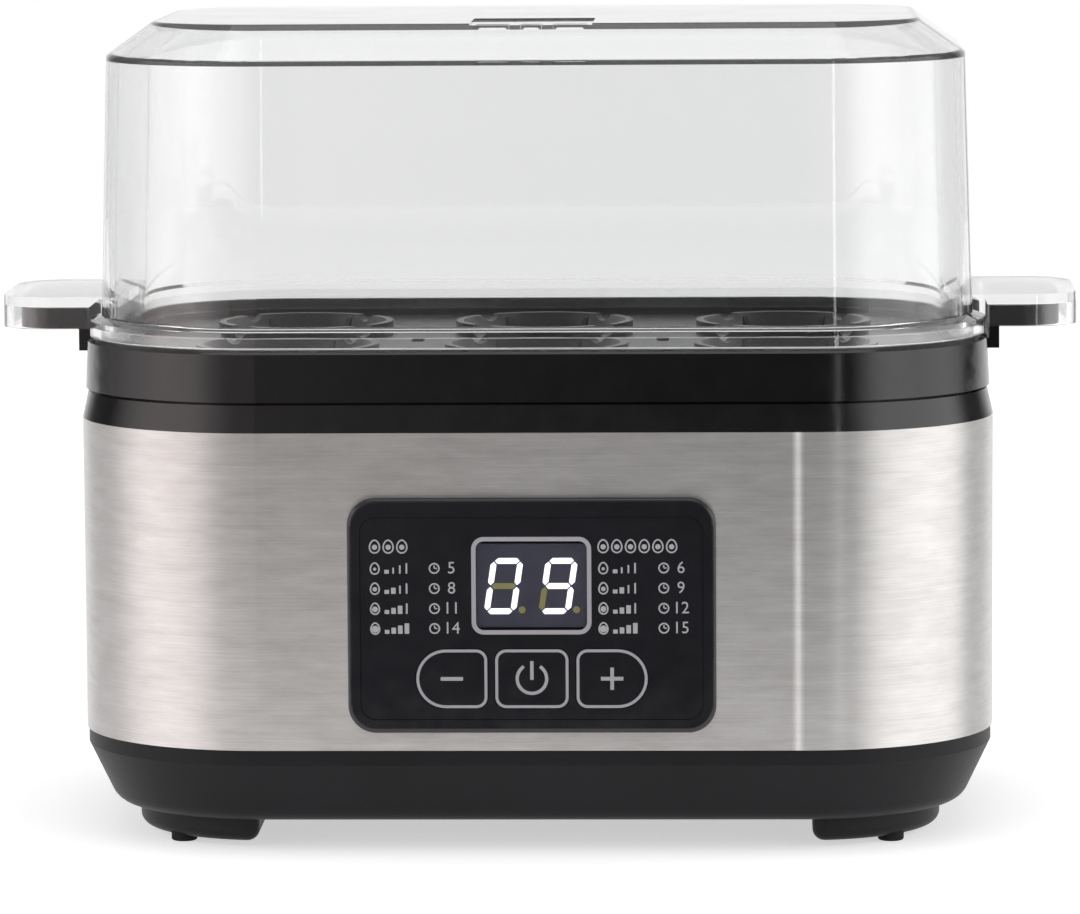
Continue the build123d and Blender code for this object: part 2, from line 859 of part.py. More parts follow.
def display_window():
    return panel_block(display_shape(0), overlay_front, overlay_front + window_thickness)


def display_module():
    """Block of the two digit display, standing on the control board."""
    shape = Pos(display_x, display_z) * Rectangle(module_width, module_height)
    return panel_block(shape, overlay_front + window_thickness + display_gap, control_board_front)


def key(width, round_side, x):
    """Cap, retaining flange above and below, and a stem that reaches the switch."""
    cap = panel_block(Pos(x, key_z) * key_shape(width, round_side, 0), overlay_front, key_flange_back)
    flange_shape = Pos(x, key_z) * Rectangle(width - 2 * key_height / 3, key_height + 2 * key_flange_lap)
    flange = panel_block(flange_shape, key_flange_front, key_flange_back)
    stem = panel_block(Pos(x, key_z) * Circle(key_stem_radius), key_flange_back, stem_back)
    return cap + flange + stem


def plunger(x):
    return panel_block(Pos(x, key_z) * Circle(plunger_radius), stem_back, switch_front + plunger_sunk)


def tact_switches():
    switches = []
    for name, width, round_side, x in key_list():
        plan = Pos(x, key_z) * Rectangle(switch_size, switch_size)
        body = panel_block(plan, switch_front, control_board_front)
        well = Pos(x, key_z) * Circle(plunger_radius + plunger_clearance)
        well_depth = plunger_sunk + key_travel + switch_well_spare
        switches.append(body - panel_block(well, switch_front, switch_front + well_depth))
    return switches


def control_board():
    board = panel_block(RectangleRounded(control_board_width, control_board_height, control_board_corner),
                        control_board_front, control_board_back)
    for x, z in corners(control_boss_x, control_boss_z):
        board -= panel_block(Pos(x, z) * Circle(small_screw_radius + through_clearance),
                             control_board_front, control_board_back)
    return board


def control_board_screws():
    screws = []
    for x, z in corners(control_boss_x, control_boss_z):
        shank = panel_block(Pos(x, z) * Circle(small_screw_radius),
                            control_board_back - small_screw_length, control_board_back)
        head = panel_block(Pos(x, z) * Circle(small_screw_head_radius), control_board_back,
                           control_board_back + small_screw_head_height)
        screws.append(shank + head)
    return screws


def buzzer():
    can = panel_block(Pos(buzzer_x, buzzer_z) * Circle(buzzer_radius), control_board_back,
                      control_board_back + buzzer_height)
    hole = panel_block(Pos(buzzer_x, buzzer_z) * Circle(buzzer_hole_radius),
                       control_board_back + buzzer_height - 2.0, control_board_back + buzzer_height)
    return can - hole


# Power board
def power_board_bosses():
    x = power_board_width / 2 - power_boss_margin
    y = power_board_depth / 2 - power_boss_margin
    return [(place_x, place_y + power_board_y) for place_x, place_y in corners(x, y)]


def power_board():
    board = bar(-power_board_width / 2, power_board_width / 2, power_board_y - power_board_depth / 2,
                power_board_y + power_board_depth / 2, power_board_z, power_top_z)
    for x, y in power_board_bosses():
        board -= drum(x, y, power_board_z, power_top_z, small_screw_radius + through_clearance)
    return board


def power_board_screws():
    return [small_screw(x, y, power_top_z, small_screw_length) for x, y in power_board_bosses()]


def board_box(size, place):
    """Component with a square base, standing on the power board."""
    width, depth, height = size
    x, y = place
    return bar(x - width / 2, x + width / 2, y - depth / 2, y + depth / 2, power_top_z, power_top_z + height)


def relay():
    return chamfer(board_box(relay_size, relay_place).edges().group_by(Axis.Z)[-1], component_edge)


def film_capacitor():
    return chamfer(board_box(film_size, film_place).edges().group_by(Axis.Z)[-1], component_edge)


def smoothing_capacitors():
    x, y = can_place
    cans = []
    for side in (0, 1):
        can = drum(x + side * can_pitch, y, power_top_z, power_top_z + can_height, can_radius)
        cans.append(fillet(can.edges().group_by(Axis.Z)[-1], component_edge))
    return cans


def choke():
    """Ring core choke standing on edge."""
    x, y = choke_place
    core = Cylinder(choke_outer_radius, choke_thickness) - Cylinder(choke_inner_radius, choke_thickness)
    foot = bar(-choke_foot_width / 2, choke_foot_width / 2, -choke_thickness / 2, choke_thickness / 2,
               -choke_outer_radius, -choke_outer_radius + choke_foot_height)
    return Pos(x, y, power_top_z + choke_outer_radius) * (Rot(90, 0, 0) * core + foot)


def mains_fuse():
    """Glass tube fuse between two end caps, lying on the board."""
    x, y = fuse_place
    z = power_top_z + fuse_cap_radius + fuse_lift
    half_clip = fuse_clip_width / 2
    tube = Pos(x, y, z) * Rot(90, 0, 0) * Cylinder(fuse_glass_radius, fuse_tube_length)
    for side in (-1, 1):
        cap_y = y + side * (fuse_tube_length - fuse_cap_length) / 2
        tube += Pos(x, cap_y, z) * Rot(90, 0, 0) * Cylinder(fuse_cap_radius, fuse_cap_length)
        tube += bar(x - half_clip, x + half_clip, cap_y - fuse_clip_length / 2, cap_y + fuse_clip_length / 2,
                    power_top_z, z)
    return tube


def terminal_block():
    block_solid = board_box(terminal_size, terminal_place)
    width, depth, height = terminal_size
    x, y = terminal_place
    pitch = depth / terminal_count
    for index in range(terminal_count):
        place_y = y + (index - (terminal_count - 1) / 2) * pitch
        hole = Pos(x + width / 2, place_y, power_top_z + height / 2) * Rot(0, 90, 0)
        block_solid -= hole * Cylinder(terminal_hole_radius, width)
        block_solid -= drum(x, place_y, power_top_z + height - terminal_screw_depth, power_top_z + height,
                             terminal_hole_radius)
    return block_solid


# Ribbon cable
def ribbon_points():
    """Route of the ribbon in the plane across the cooker: out of one header, down into the other."""
    start_y = front_y + control_board_back + header_depth
    start_z = panel_middle_z + ribbon_header_z
    end_y = power_board_y - power_board_depth / 2 + ribbon_drop_y
    end_z = power_top_z + header_height
    return [(start_y, start_z), (end_y, start_z), (end_y, end_z)]


def ribbon_cable():
    (y0, z0), (y1, z1), (y2, z2) = ribbon_points()
    bend = min(abs(y1 - y0), abs(z2 - z1)) * ribbon_bend_share
    path = FilletPolyline((0, y0, z0), (0, y1, z1), (0, y2, z2), radius=bend)
    start = Plane(origin=path @ 0, x_dir=(1, 0, 0), z_dir=path % 0)
    return Pos(ribbon_x, 0, 0) * sweep(start * Rectangle(ribbon_width, ribbon_thickness), path=path)


def board_headers():
    """Connector on each board that the ribbon plugs into."""
    (y0, z0), (y1, z1), (y2, z2) = ribbon_points()
    half = ribbon_width / 2 + header_margin
    upper = bar(ribbon_x - half, ribbon_x + half, y0 - header_depth, y0, z0 - header_height / 2,
                z0 + header_height / 2)
    lower = bar(ribbon_x - half, ribbon_x + half, y2 - header_depth / 2, y2 + header_depth / 2,
                power_top_z, z2)
    return [upper, lower]


# Egg tray
def well_places():
    places = []
    for column in range(well_columns):
        for row in range(well_rows):
            x = (column - (well_columns - 1) / 2) * well_pitch_x
            y = (row - (well_rows - 1) / 2) * well_pitch_y
            places.append((x, y))
    return places


def egg_well():
    """Funnel for one egg, on its own axis: raised rim, sloping wall, open bottom, ribs inside."""
    top = tray_floor_z + well_rim_height
    bottom = flange_top_z + well_bottom_gap
    profile = Polyline((well_bottom_radius, bottom), (well_top_radius, top), (well_rim_radius, top),
                       (well_rim_radius, tray_underside_z), (well_bottom_radius + well_wall, bottom),
                       close=True)
    funnel = revolve(Plane.XZ * make_face(profile), Axis.Z)
    for index in range(well_notches):
        angle = 45 + 360 * index / well_notches
        notch = Rot(0, 90, 0) * Cylinder(well_notch_radius, well_notch_length)
        funnel -= Rot(0, 0, angle) * Pos(well_rim_radius, 0, top + well_notch_lift) * notch
    rib_top = top - well_rib_drop
    rib_inner = well_bottom_radius - well_rib_depth
    rib_side = Polyline((well_bottom_radius + well_rib_root, bottom),
                        (well_top_radius + well_rib_root, rib_top),
                        (well_top_radius - well_rib_root, rib_top),
                        (rib_inner, bottom + well_rib_depth), (rib_inner, bottom), close=True)
    for index in range(well_ribs):
        rib = extrude(Plane.XZ * make_face(rib_side), well_rib_thickness / 2, both=True)
        funnel += Rot(0, 0, 360 * index / well_ribs) * rib
    return funnel


def tray_handle(side):
    """Hollow grip plate on a riser that stands off the ring."""
    riser_bottom = tray_top_z - riser_drop
    grip_top = tray_handle_top_z
    grip_bottom = grip_top - tray_handle_height
    length = tray_handle_end_x - riser_inner_x
    grip = grip_solid(length, tray_handle_half_width, tray_handle_corner, grip_bottom, grip_top)
    hollow = grip_solid(length - tray_handle_wall, tray_handle_half_width - tray_handle_wall,
                        tray_handle_corner - tray_handle_wall, grip_bottom, grip_top - tray_handle_thickness)
    handle = grip - hollow
    handle += bar(0, riser_thickness, -riser_half_width, riser_half_width, riser_bottom, grip_top)
    link_reach = riser_inner_x - (body_width / 2 - tray_top_inset - tray_wall / 2)
    handle += bar(-link_reach, riser_thickness, -riser_half_width, riser_half_width, riser_bottom,
                  riser_bottom + riser_thickness)
    handle = Pos(riser_inner_x, 0, 0) * handle
    return handle if side > 0 else mirror(handle, Plane.YZ)


def grip_solid(length, half_width, corner, z_low, z_high):
    """Tongue that runs out along X, with rounded outer corners."""
    plan = Pos(length / 2 - corner, 0, z_low) * RectangleRounded(length + 2 * corner, 2 * half_width, corner)
    return extrude(plan, z_high - z_low) & bar(0, length, -half_width, half_width, z_low, z_high)


def egg_tray():
    skirt_bottom = flange_top_z + lid_gap
    ring_inner = tray_top_inset + tray_wall
    body = block(tray_bottom_z, tray_top_z, tray_bottom_inset, tray_top_inset)
    body = chamfer(body.edges().group_by(Axis.Z)[-1], tray_chamfer)
    body -= block(tray_floor_z, tray_top_z, ring_inner)
    body += block(skirt_bottom, tray_bottom_z, skirt_inset)
    body -= block(skirt_bottom, tray_underside_z, skirt_inset + skirt_wall)
    groove_inset = tray_bottom_inset + ring_lower_wall
    body -= ring(tray_bottom_z, tray_underside_z - groove_roof, groove_inset, skirt_inset - groove_inset)
    well = egg_well()
    bore = drum(0, 0, tray_underside_z, tray_floor_z, well_rim_radius)
    for x, y in well_places():
        body -= Pos(x, y, 0) * bore
    for x, y in well_places():
        body += Pos(x, y, 0) * well
    for x in (-well_pitch_x / 2, well_pitch_x / 2):
        slot = SlotOverall(steam_slot_length, steam_slot_width)
        body -= extrude(Pos(x, 0, tray_underside_z) * Rot(0, 0, 90) * slot, tray_floor_thickness)
    for side in (-1, 1):
        body += tray_handle(side)
    return body


# Lid
def lid_cavity():
    """Inside of the lid: the wall, the bevel and the top at one thickness."""
    bevel_angle = math.atan2(bevel_height, bevel_run)
    wall_angle = math.atan2(lid_wall_height, lid_wall_draft_run)
    low = rim_top_z + shoulder_height - lid_thickness
    knee_z = bevel_bottom_z - lid_thickness * math.tan((wall_angle - bevel_angle) / 2)
    roof_z = lid_top_z - lid_thickness
    knee_inset = lid_top_inset + lid_thickness
    roof_inset = plateau_inset + lid_thickness * math.tan(bevel_angle / 2)
    cavity = block(low, knee_z, lid_wall_inset + lid_thickness, knee_inset)
    return cavity + block(knee_z, roof_z, knee_inset, roof_inset)


def lid_handle_block(side):
    length = handle_end_x - (body_width / 2 - lid_wall_inset - lid_thickness / 2)
    grip = grip_solid(length, handle_half_width, handle_corner, handle_bottom_z, handle_top_z)
    grip = Pos(handle_end_x - length, 0, 0) * grip
    return grip if side > 0 else mirror(grip, Plane.YZ)


def lid_handle_cavity(side):
    length = handle_end_x - handle_wall - handle_cavity_inner_x
    hollow = grip_solid(length, handle_half_width - handle_wall, handle_corner - handle_wall, handle_bottom_z,
                        handle_roof_z)
    hollow = Pos(handle_cavity_inner_x, 0, 0) * hollow
    return hollow if side > 0 else mirror(hollow, Plane.YZ)


def vent_cuts():
    """Shallow recess that runs out over the front edge of the lid's top, with a row of slots through it."""
    edge_y = front_y + plateau_inset
    recess = bar(-vent_width / 2, vent_width / 2, edge_y - vent_overrun, edge_y + vent_length,
                 lid_top_z - vent_recess, lid_top_z)
    cuts = [recess]
    slot_y = edge_y + vent_edge + vent_slot_width / 2
    for index in range(vent_slots):
        place = index - (vent_slots - 1) / 2
        length = vent_slot_length if place else vent_middle_slot_length
        slot = Pos(place * vent_slot_pitch, slot_y, lid_top_z - lid_thickness)
        slot *= SlotOverall(length, vent_slot_width)
        cuts.append(extrude(slot, lid_thickness))
    return cuts


def lid():
    outer = block(rim_bottom_z, rim_top_z, rim_inset)
    outer += block(rim_top_z, shoulder_top_z, rim_inset, lid_wall_inset)
    outer += block(shoulder_top_z, bevel_bottom_z, lid_wall_inset, lid_top_inset)
    outer += block(bevel_bottom_z, lid_top_z, lid_top_inset, plateau_inset)
    outer = fillet(outer.edges().filter_by_position(Axis.Z, bevel_bottom_z, lid_top_z), lid_edge_round)
    for side in (-1, 1):
        outer += lid_handle_block(side)
    shell = outer - lid_cavity()
    shelf_z = shoulder_top_z - lid_thickness
    shell -= block(rim_bottom_z, shelf_z, rim_inset + lid_thickness)
    for side in (-1, 1):
        shell -= lid_handle_cavity(side)
    lip_inset = tray_top_inset + tray_wall + lip_clearance
    shell += ring(rim_bottom_z - lip_depth, shelf_z, lip_inset, lip_wall)
    for cut in vent_cuts():
        shell -= cut
    return shell


def build():
    """Every piece by name, each a solid or a list of like solids."""
    nodes = {
        "lid": lid(),
        "egg_tray": egg_tray(),
        "base_housing": base_housing(),
        "rubber_feet": rubber_feet(),
        "base_screws": base_screws(),
        "cord_gland": cord_gland(),
        "steel_band": steel_band(),
        "upper_housing": upper_housing(),
        "water_bowl": water_bowl(),
        "bowl_seal": bowl_seal(),
        "bowl_straps": bowl_straps(),
        "strap_screws": strap_screws(),
        "heat_spreader": heat_spreader(),
        "heating_element": heating_element(),
        "element_clamps": element_clamps(),
        "clamp_screws": clamp_screws(),
        "temperature_sensor": temperature_sensor(),
        "sensor_bracket": sensor_bracket(),
        "thermal_fuse": thermal_fuse(),
        "fuse_clip": fuse_clip(),
        "heat_shield": heat_shield(),
        "shield_screws": shield_screws(),
        "panel_frame": panel_frame(),
        "panel_overlay": panel_overlay(),
        "display_window": display_window(),
        "display_module": display_module(),
        "tact_switches": tact_switches(),
        "control_board": control_board(),
        "control_board_screws": control_board_screws(),
        "buzzer": buzzer(),
        "power_board": power_board(),
        "power_board_screws": power_board_screws(),
        "relay": relay(),
        "film_capacitor": film_capacitor(),
        "smoothing_capacitors": smoothing_capacitors(),
        "choke": choke(),
        "mains_fuse": mains_fuse(),
        "terminal_block": terminal_block(),
        "ribbon_cable": ribbon_cable(),
        "board_headers": board_headers(),
    }
    for name, width, round_side, x in key_list():
        nodes[name + "_key"] = key(width, round_side, x)
        nodes[name + "_plunger"] = plunger(x)
    return nodes


def solids_of(shape):
    """All solids in a shape or in a list of shapes."""
    if isinstance(shape, (list, tuple)):
        return [solid for piece in shape for solid in solids_of(piece)]
    return list(shape.solids())


os.makedirs("parts", exist_ok=True)
for node, shape in build().items():
    solids = solids_of(shape)
    export_step(solids[0] if len(solids) == 1 else Compound(children=solids), f"parts/{node}.step")
    print(node, len(solids))
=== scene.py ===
import math

import bmesh
import bpy
from mathutils import Matrix, Vector


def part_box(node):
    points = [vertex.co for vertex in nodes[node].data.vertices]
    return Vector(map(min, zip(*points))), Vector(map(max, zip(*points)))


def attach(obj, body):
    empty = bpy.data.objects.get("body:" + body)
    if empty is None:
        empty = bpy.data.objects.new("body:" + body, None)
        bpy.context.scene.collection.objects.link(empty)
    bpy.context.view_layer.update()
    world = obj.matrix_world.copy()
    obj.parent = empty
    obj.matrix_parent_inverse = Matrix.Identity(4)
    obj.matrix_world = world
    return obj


# Looks of the egg cooker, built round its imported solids. Lengths are in metres.
# X runs to the right seen from the front, Y to the back and Z up.

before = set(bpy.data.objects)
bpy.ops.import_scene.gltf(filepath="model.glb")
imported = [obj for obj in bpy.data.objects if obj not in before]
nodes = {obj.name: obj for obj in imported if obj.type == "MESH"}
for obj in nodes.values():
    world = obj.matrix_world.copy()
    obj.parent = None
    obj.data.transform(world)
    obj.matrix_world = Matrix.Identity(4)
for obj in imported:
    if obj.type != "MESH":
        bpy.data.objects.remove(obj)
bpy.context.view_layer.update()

MM = 0.001


# Camera
IMAGE_WIDTH = 1080
SENSOR = 36.0
FOCAL_PIXELS = 6000.0
CAMERA_DISTANCE = 1.428
CAMERA_PITCH = 0.1137
CAMERA_YAW = 0.0354
CAMERA_ROLL = -0.00644
CAMERA_TARGET = Vector((-0.0004, 0.0, 0.0838))


def add_camera():
    """The photograph's camera, looking slightly down on the front."""
    data = bpy.data.cameras.new("camera")
    data.sensor_width = SENSOR
    data.lens = FOCAL_PIXELS / IMAGE_WIDTH * SENSOR
    data.clip_start = 0.01
    camera = bpy.data.objects.new("camera", data)
    bpy.context.scene.collection.objects.link(camera)
    cos_pitch = math.cos(CAMERA_PITCH)
    ahead = Vector((-math.sin(CAMERA_YAW) * cos_pitch,
                    math.cos(CAMERA_YAW) * cos_pitch,
                    -math.sin(CAMERA_PITCH)))
    level = Vector((math.cos(CAMERA_YAW), math.sin(CAMERA_YAW), 0.0))
    upright = level.cross(ahead)
    right = level * math.cos(CAMERA_ROLL) + upright * math.sin(CAMERA_ROLL)
    up = upright * math.cos(CAMERA_ROLL) - level * math.sin(CAMERA_ROLL)
    turn = Matrix((right, up, -ahead)).transposed().to_4x4()
    camera.matrix_world = Matrix.Translation(CAMERA_TARGET - ahead * CAMERA_DISTANCE) @ turn
    bpy.context.scene.camera = camera


# Node helpers, whose owner is a material, the world or a lamp
def add_node(owner, kind, links=None, **settings):
    """A node with its settings, and its named or numbered inputs set or linked."""
    tree = owner.node_tree
    node = tree.nodes.new(kind)
    for key, value in settings.items():
        setattr(node, key, value)
    for socket, value in (links or {}).items():
        if isinstance(value, bpy.types.NodeSocket):
            tree.links.new(value, node.inputs[socket])
        else:
            node.inputs[socket].default_value = value
    return node


def combined(owner, operation, first, second):
    """The result of one sum on two values."""
    return add_node(owner, "ShaderNodeMath", {0: first, 1: second}, operation=operation).outputs[0]


def blended(owner, factor, first, second):
    """The first value where the factor is 0, and the second where it is 1."""
    return add_node(owner, "ShaderNodeMix", {0: factor, 2: first, 3: second}, data_type="FLOAT").outputs[0]


def spread(owner, source, low, high, start=0.3, end=0.7, ease="LINEAR"):
    """A value that runs from low to high as the source goes from start to end."""
    limits = {"Value": source, "From Min": start, "From Max": end, "To Min": low, "To Max": high}
    return add_node(owner, "ShaderNodeMapRange", limits, interpolation_type=ease).outputs["Result"]


def object_axis(material, axis):
    """The object coordinate along one axis."""
    place = add_node(material, "ShaderNodeTexCoord")
    return add_node(material, "ShaderNodeSeparateXYZ", {0: place.outputs["Object"]}).outputs[axis]


# Material helpers
def finish_of(name, colour, roughness, **constants):
    """A material whose constant values sit on the shader's own sockets."""
    material = bpy.data.materials.new(name)
    material.use_nodes = True
    shader = shader_of(material)
    shader.inputs["Base Color"].default_value = (*colour, 1.0)
    shader.inputs["Roughness"].default_value = roughness
    for socket, value in constants.items():
        shader.inputs[socket.replace("_", " ")].default_value = value
    return material


def shader_of(material):
    return material.node_tree.nodes["Principled BSDF"]


def drive(material, socket, output):
    """Links an output to a socket of the material's shader."""
    material.node_tree.links.new(output, shader_of(material).inputs[socket])


def show(material, output):
    """Makes a shader's output the material's surface."""
    tree = material.node_tree
    tree.links.new(output, tree.nodes["Material Output"].inputs["Surface"])


def shade(colour, factor):
    return [channel * factor for channel in colour]


def grain(material, per_metre, detail=3.0, roughness=0.5):
    """Noise on object coordinates. per_metre is one number, or one for each axis."""
    scale = per_metre if isinstance(per_metre, (tuple, list)) else (per_metre,) * 3
    place = add_node(material, "ShaderNodeTexCoord")
    mapping = add_node(material, "ShaderNodeMapping", {"Vector": place.outputs["Object"], "Scale": scale})
    settings = {"Vector": mapping.outputs["Vector"], "Scale": 1.0, "Detail": detail, "Roughness": roughness}
    return add_node(material, "ShaderNodeTexNoise", settings).outputs["Fac"]


def drive_roughness(material, source, low, high):
    drive(material, "Roughness", spread(material, source, low, high))


def drive_colour(material, source, first, second, start=0.3, end=0.7):
    """Colour that goes from the first to the second as the source goes from start to end."""
    share = spread(material, source, 0.0, 1.0, start, end)
    ends = {0: share, 6: (*first, 1.0), 7: (*second, 1.0)}
    mix = add_node(material, "ShaderNodeMix", ends, data_type="RGBA")
    drive(material, "Base Color", mix.outputs[2])


def relief(material, source, depth, strength=1.0, below=None):
    """Bump of a depth in metres, on top of the bump below it."""
    links = {"Height": source, "Distance": depth, "Strength": strength}
    if below is not None:
        links["Normal"] = below
    bump = add_node(material, "ShaderNodeBump", links)
    drive(material, "Normal", bump.outputs["Normal"])
    return bump.outputs["Normal"]


def let_light_through(material, colour, share=0.0):
    """Shadow rays pass straight through a clear piece, and so does a share of all other rays."""
    path = add_node(material, "ShaderNodeLightPath")
    passed = combined(material, "MAXIMUM", path.outputs["Is Shadow Ray"], share)
    clear = add_node(material, "ShaderNodeBsdfTransparent", {"Color": (*colour, 1.0)})
    solid = shader_of(material).outputs["BSDF"]
    mix = add_node(material, "ShaderNodeMixShader", {0: passed, 1: solid, 2: clear.outputs["BSDF"]})
    show(material, mix.outputs["Shader"])


# Black plastics
SATIN_INSIDE_X = 0.0965
SATIN_INSIDE_Y = 0.0615
SATIN_BORDER = 0.003
SATIN_ROUGHNESS = 0.3
MOULD_WAVES = 260.0
SKIN_GRAIN = 5200.0
SKIN_DEPTH = 0.000004
SPARK_DEPTH = 0.00003


def inside_share(material):
    """1 inside the tray's ring and 0 on the ring itself."""
    shares = []
    for axis, limit in (("X", SATIN_INSIDE_X), ("Y", SATIN_INSIDE_Y)):
        value = object_axis(material, axis)
        size = add_node(material, "ShaderNodeMath", {0: value}, operation="ABSOLUTE").outputs[0]
        shares.append(spread(material, size, 1.0, 0.0, limit, limit + SATIN_BORDER))
    return combined(material, "MULTIPLY", *shares)


def gloss_black(name, colour, low, high, peel, satin_inside=False):
    """Moulded gloss plastic, with the faint unevenness of a polished mould."""
    material = finish_of(name, colour, low, IOR=1.56)
    rough = spread(material, grain(material, 180.0), low, high)
    if satin_inside:
        rough = blended(material, inside_share(material), rough, SATIN_ROUGHNESS)
    drive(material, "Roughness", rough)
    wave = relief(material, grain(material, MOULD_WAVES, 1.0), peel)
    relief(material, grain(material, SKIN_GRAIN, 2.0), SKIN_DEPTH, 0.4, wave)
    drive_colour(material, grain(material, 60.0), colour, shade(colour, 1.25))
    return material


def satin_black(name, colour, low, high, grain_per_metre):
    """Moulded plastic with a fine spark-eroded texture."""
    material = finish_of(name, colour, high, IOR=1.45, Specular_IOR_Level=0.24)
    texture = grain(material, grain_per_metre, 4.0, 0.6)
    drive_roughness(material, texture, low, high)
    soft = relief(material, grain(material, 150.0, 1.0), SPARK_DEPTH)
    relief(material, texture, SPARK_DEPTH, 0.5, soft)
    drive_colour(material, grain(material, 45.0), colour, shade(colour, 1.3))
    return material


# Brushed steel of the band
BRUSH_LINES = (40.0, 40.0, 3000.0)
BRUSH_SMUDGES = (90.0, 90.0, 380.0)
BRUSH_DEPTH = 0.000006
STEEL = (0.66, 0.645, 0.632)
DULL_STEEL = (0.585, 0.567, 0.553)
BRIGHT_STEEL = (0.8, 0.782, 0.767)
QUARTER_TURN = 0.25
PRESS_LINE_X = 0.0604
PRESS_LINE_HALF = 0.0016
PRESS_LINE_DEPTH = 0.0008


def brushed_steel():
    """Sheet steel brushed along its length, so that highlights spread up and down."""
    material = finish_of("brushed_steel", STEEL, 0.4, Metallic=1.0, Anisotropic=0.95,
                         Anisotropic_Rotation=QUARTER_TURN)
    lines = grain(material, BRUSH_LINES, 4.0, 0.7)
    smudges = grain(material, BRUSH_SMUDGES, 3.0, 0.6)
    drive_roughness(material, lines, 0.38, 0.42)
    fine_streaks = spread(material, lines, 0.0, 0.5)
    wide_streaks = spread(material, smudges, 0.0, 0.5)
    streaks = combined(material, "ADD", fine_streaks, wide_streaks)
    drive_colour(material, streaks, DULL_STEEL, BRIGHT_STEEL, 0.0, 1.0)
    fine = relief(material, lines, BRUSH_DEPTH, 0.3)
    relief(material, press_line(material), PRESS_LINE_DEPTH, 1.0, fine)
    tangent = add_node(material, "ShaderNodeTangent", direction_type="RADIAL", axis="Z")
    drive(material, "Tangent", tangent.outputs["Tangent"])
    return material


def press_line(material):
    """Faint upright bend in the band, front and back, just before its right corners begin."""
    left = PRESS_LINE_X - PRESS_LINE_HALF
    right = PRESS_LINE_X + PRESS_LINE_HALF
    return spread(material, object_axis(material, "X"), 1.0, 0.0, left, right, "SMOOTHSTEP")


# Clear plastics
CLEAR_SHADOW = (0.9, 0.9, 0.9)
STRAIGHT_SHARE = 0.02
LID_RIPPLES = (30.0, 30.0, 12.0)


def clear_plastic(name, colour, ripple):
    """Clear moulding, with the long ripples that cooling leaves."""
    material = finish_of(name, colour, 0.0, Transmission_Weight=1.0, IOR=1.5, Specular_IOR_Level=0.3)
    drive_roughness(material, grain(material, 90.0), 0.0, 0.03)
    relief(material, grain(material, LID_RIPPLES, 1.0), ripple)
    let_light_through(material, CLEAR_SHADOW, STRAIGHT_SHARE)
    return material


def tinted_clear(name, colour):
    """Clear material that tints what lies behind it."""
    material = finish_of(name, colour, 0.05, Transmission_Weight=1.0, IOR=1.5)
    drive_roughness(material, grain(material, 120.0), 0.03, 0.08)
    let_light_through(material, colour)
    return material


# Metals and plastics inside
def plain_metal(name, colour, low, high, per_metre=900.0):
    material = finish_of(name, colour, low, Metallic=1.0)
    texture = grain(material, per_metre, 3.0)
    drive_roughness(material, texture, low, high)
    drive_colour(material, grain(material, 120.0), colour, shade(colour, 0.85))
    relief(material, texture, 0.000006, 0.4)
    return material


def moulded(name, colour, low, high, per_metre=1800.0, depth=0.00001):
    material = finish_of(name, colour, low, IOR=1.48)
    texture = grain(material, per_metre, 3.0)
    drive_roughness(material, texture, low, high)
    drive_colour(material, grain(material, 200.0), colour, shade(colour, 0.86))
    relief(material, texture, depth, 0.5)
    return material


def coated_metal(name, colour, fleck):
    """Dark coating on pressed sheet, with fine bright flecks in it."""
    material = finish_of(name, colour, 0.34, Metallic=0.5, Coat_Weight=0.3, Coat_Roughness=0.25)
    flecks = spread(material, grain(material, 2600.0, 1.0), 0.0, 1.0, 0.66, 0.72)
    drive_colour(material, flecks, colour, fleck)
    drive_roughness(material, grain(material, 700.0), 0.3, 0.44)
    relief(material, grain(material, 1500.0), 0.000008, 0.5)
    return material


TRACK_TURN = (0.0, 0.0, 0.6)
TRACK_SCALE = 220.0


def board_finish(name, colour, track):
    """Circuit board, with its tracks showing through the lacquer."""
    material = finish_of(name, colour, 0.35, IOR=1.5)
    place = add_node(material, "ShaderNodeTexCoord").outputs["Object"]
    turned = add_node(material, "ShaderNodeMapping", {"Vector": place, "Rotation": TRACK_TURN})
    settings = {"Vector": turned.outputs["Vector"], "Scale": TRACK_SCALE, "Mortar Size": 0.05,
                "Mortar Smooth": 0.2}
    tracks = add_node(material, "ShaderNodeTexBrick", settings).outputs["Fac"]
    drive_colour(material, tracks, colour, track)
    drive_roughness(material, grain(material, 900.0), 0.28, 0.42)
    relief(material, tracks, 0.00003, 0.6)
    return material


# Bands of wire turns and cable leads, by the wave pattern's own scale
WIRE_SCALE = 480.0
LEAD_SCALE = 250.0
BAND_DEPTH = 0.0002


def wave_of(material, scale, direction):
    """Even bands across one axis."""
    place = add_node(material, "ShaderNodeTexCoord")
    settings = {"Vector": place.outputs["Object"], "Scale": scale}
    return add_node(material, "ShaderNodeTexWave", settings, bands_direction=direction).outputs["Fac"]


def wound_wire(name, colour):
    """Turns of enamelled wire, with painted shade in the grooves between the turns."""
    material = finish_of(name, colour, 0.3, Metallic=0.9, Coat_Weight=0.6, Coat_Roughness=0.12)
    turns = wave_of(material, WIRE_SCALE, "Z")
    # Painted shade: the grooves between turns are coloured darker, down to 0.45 of the wire's colour,
    # besides their bump
    drive_colour(material, turns, shade(colour, 0.45), colour)
    drive_roughness(material, turns, 0.4, 0.24)
    relief(material, turns, BAND_DEPTH)
    return material


def ribbon(name, colour, groove_shade):
    """Flat cable of parallel leads, with painted shade in the grooves between them."""
    material = finish_of(name, colour, 0.45, IOR=1.46)
    leads = wave_of(material, LEAD_SCALE, "X")
    # Painted shade: the grooves between leads take the darker grey, besides their bump
    drive_colour(material, leads, groove_shade, colour)
    drive_roughness(material, leads, 0.55, 0.42)
    relief(material, leads, BAND_DEPTH)
    return material


def printed(name, colour, glow=0.0):
    """Ink or a segment of a digit, with light of its own where it is lit."""
    material = finish_of(name, colour, 0.4, Emission_Color=(*colour, 1.0), Emission_Strength=glow)
    drive_colour(material, grain(material, 3000.0), colour, shade(colour, 0.92))
    drive_roughness(material, grain(material, 2500.0), 0.34, 0.48)
    return material


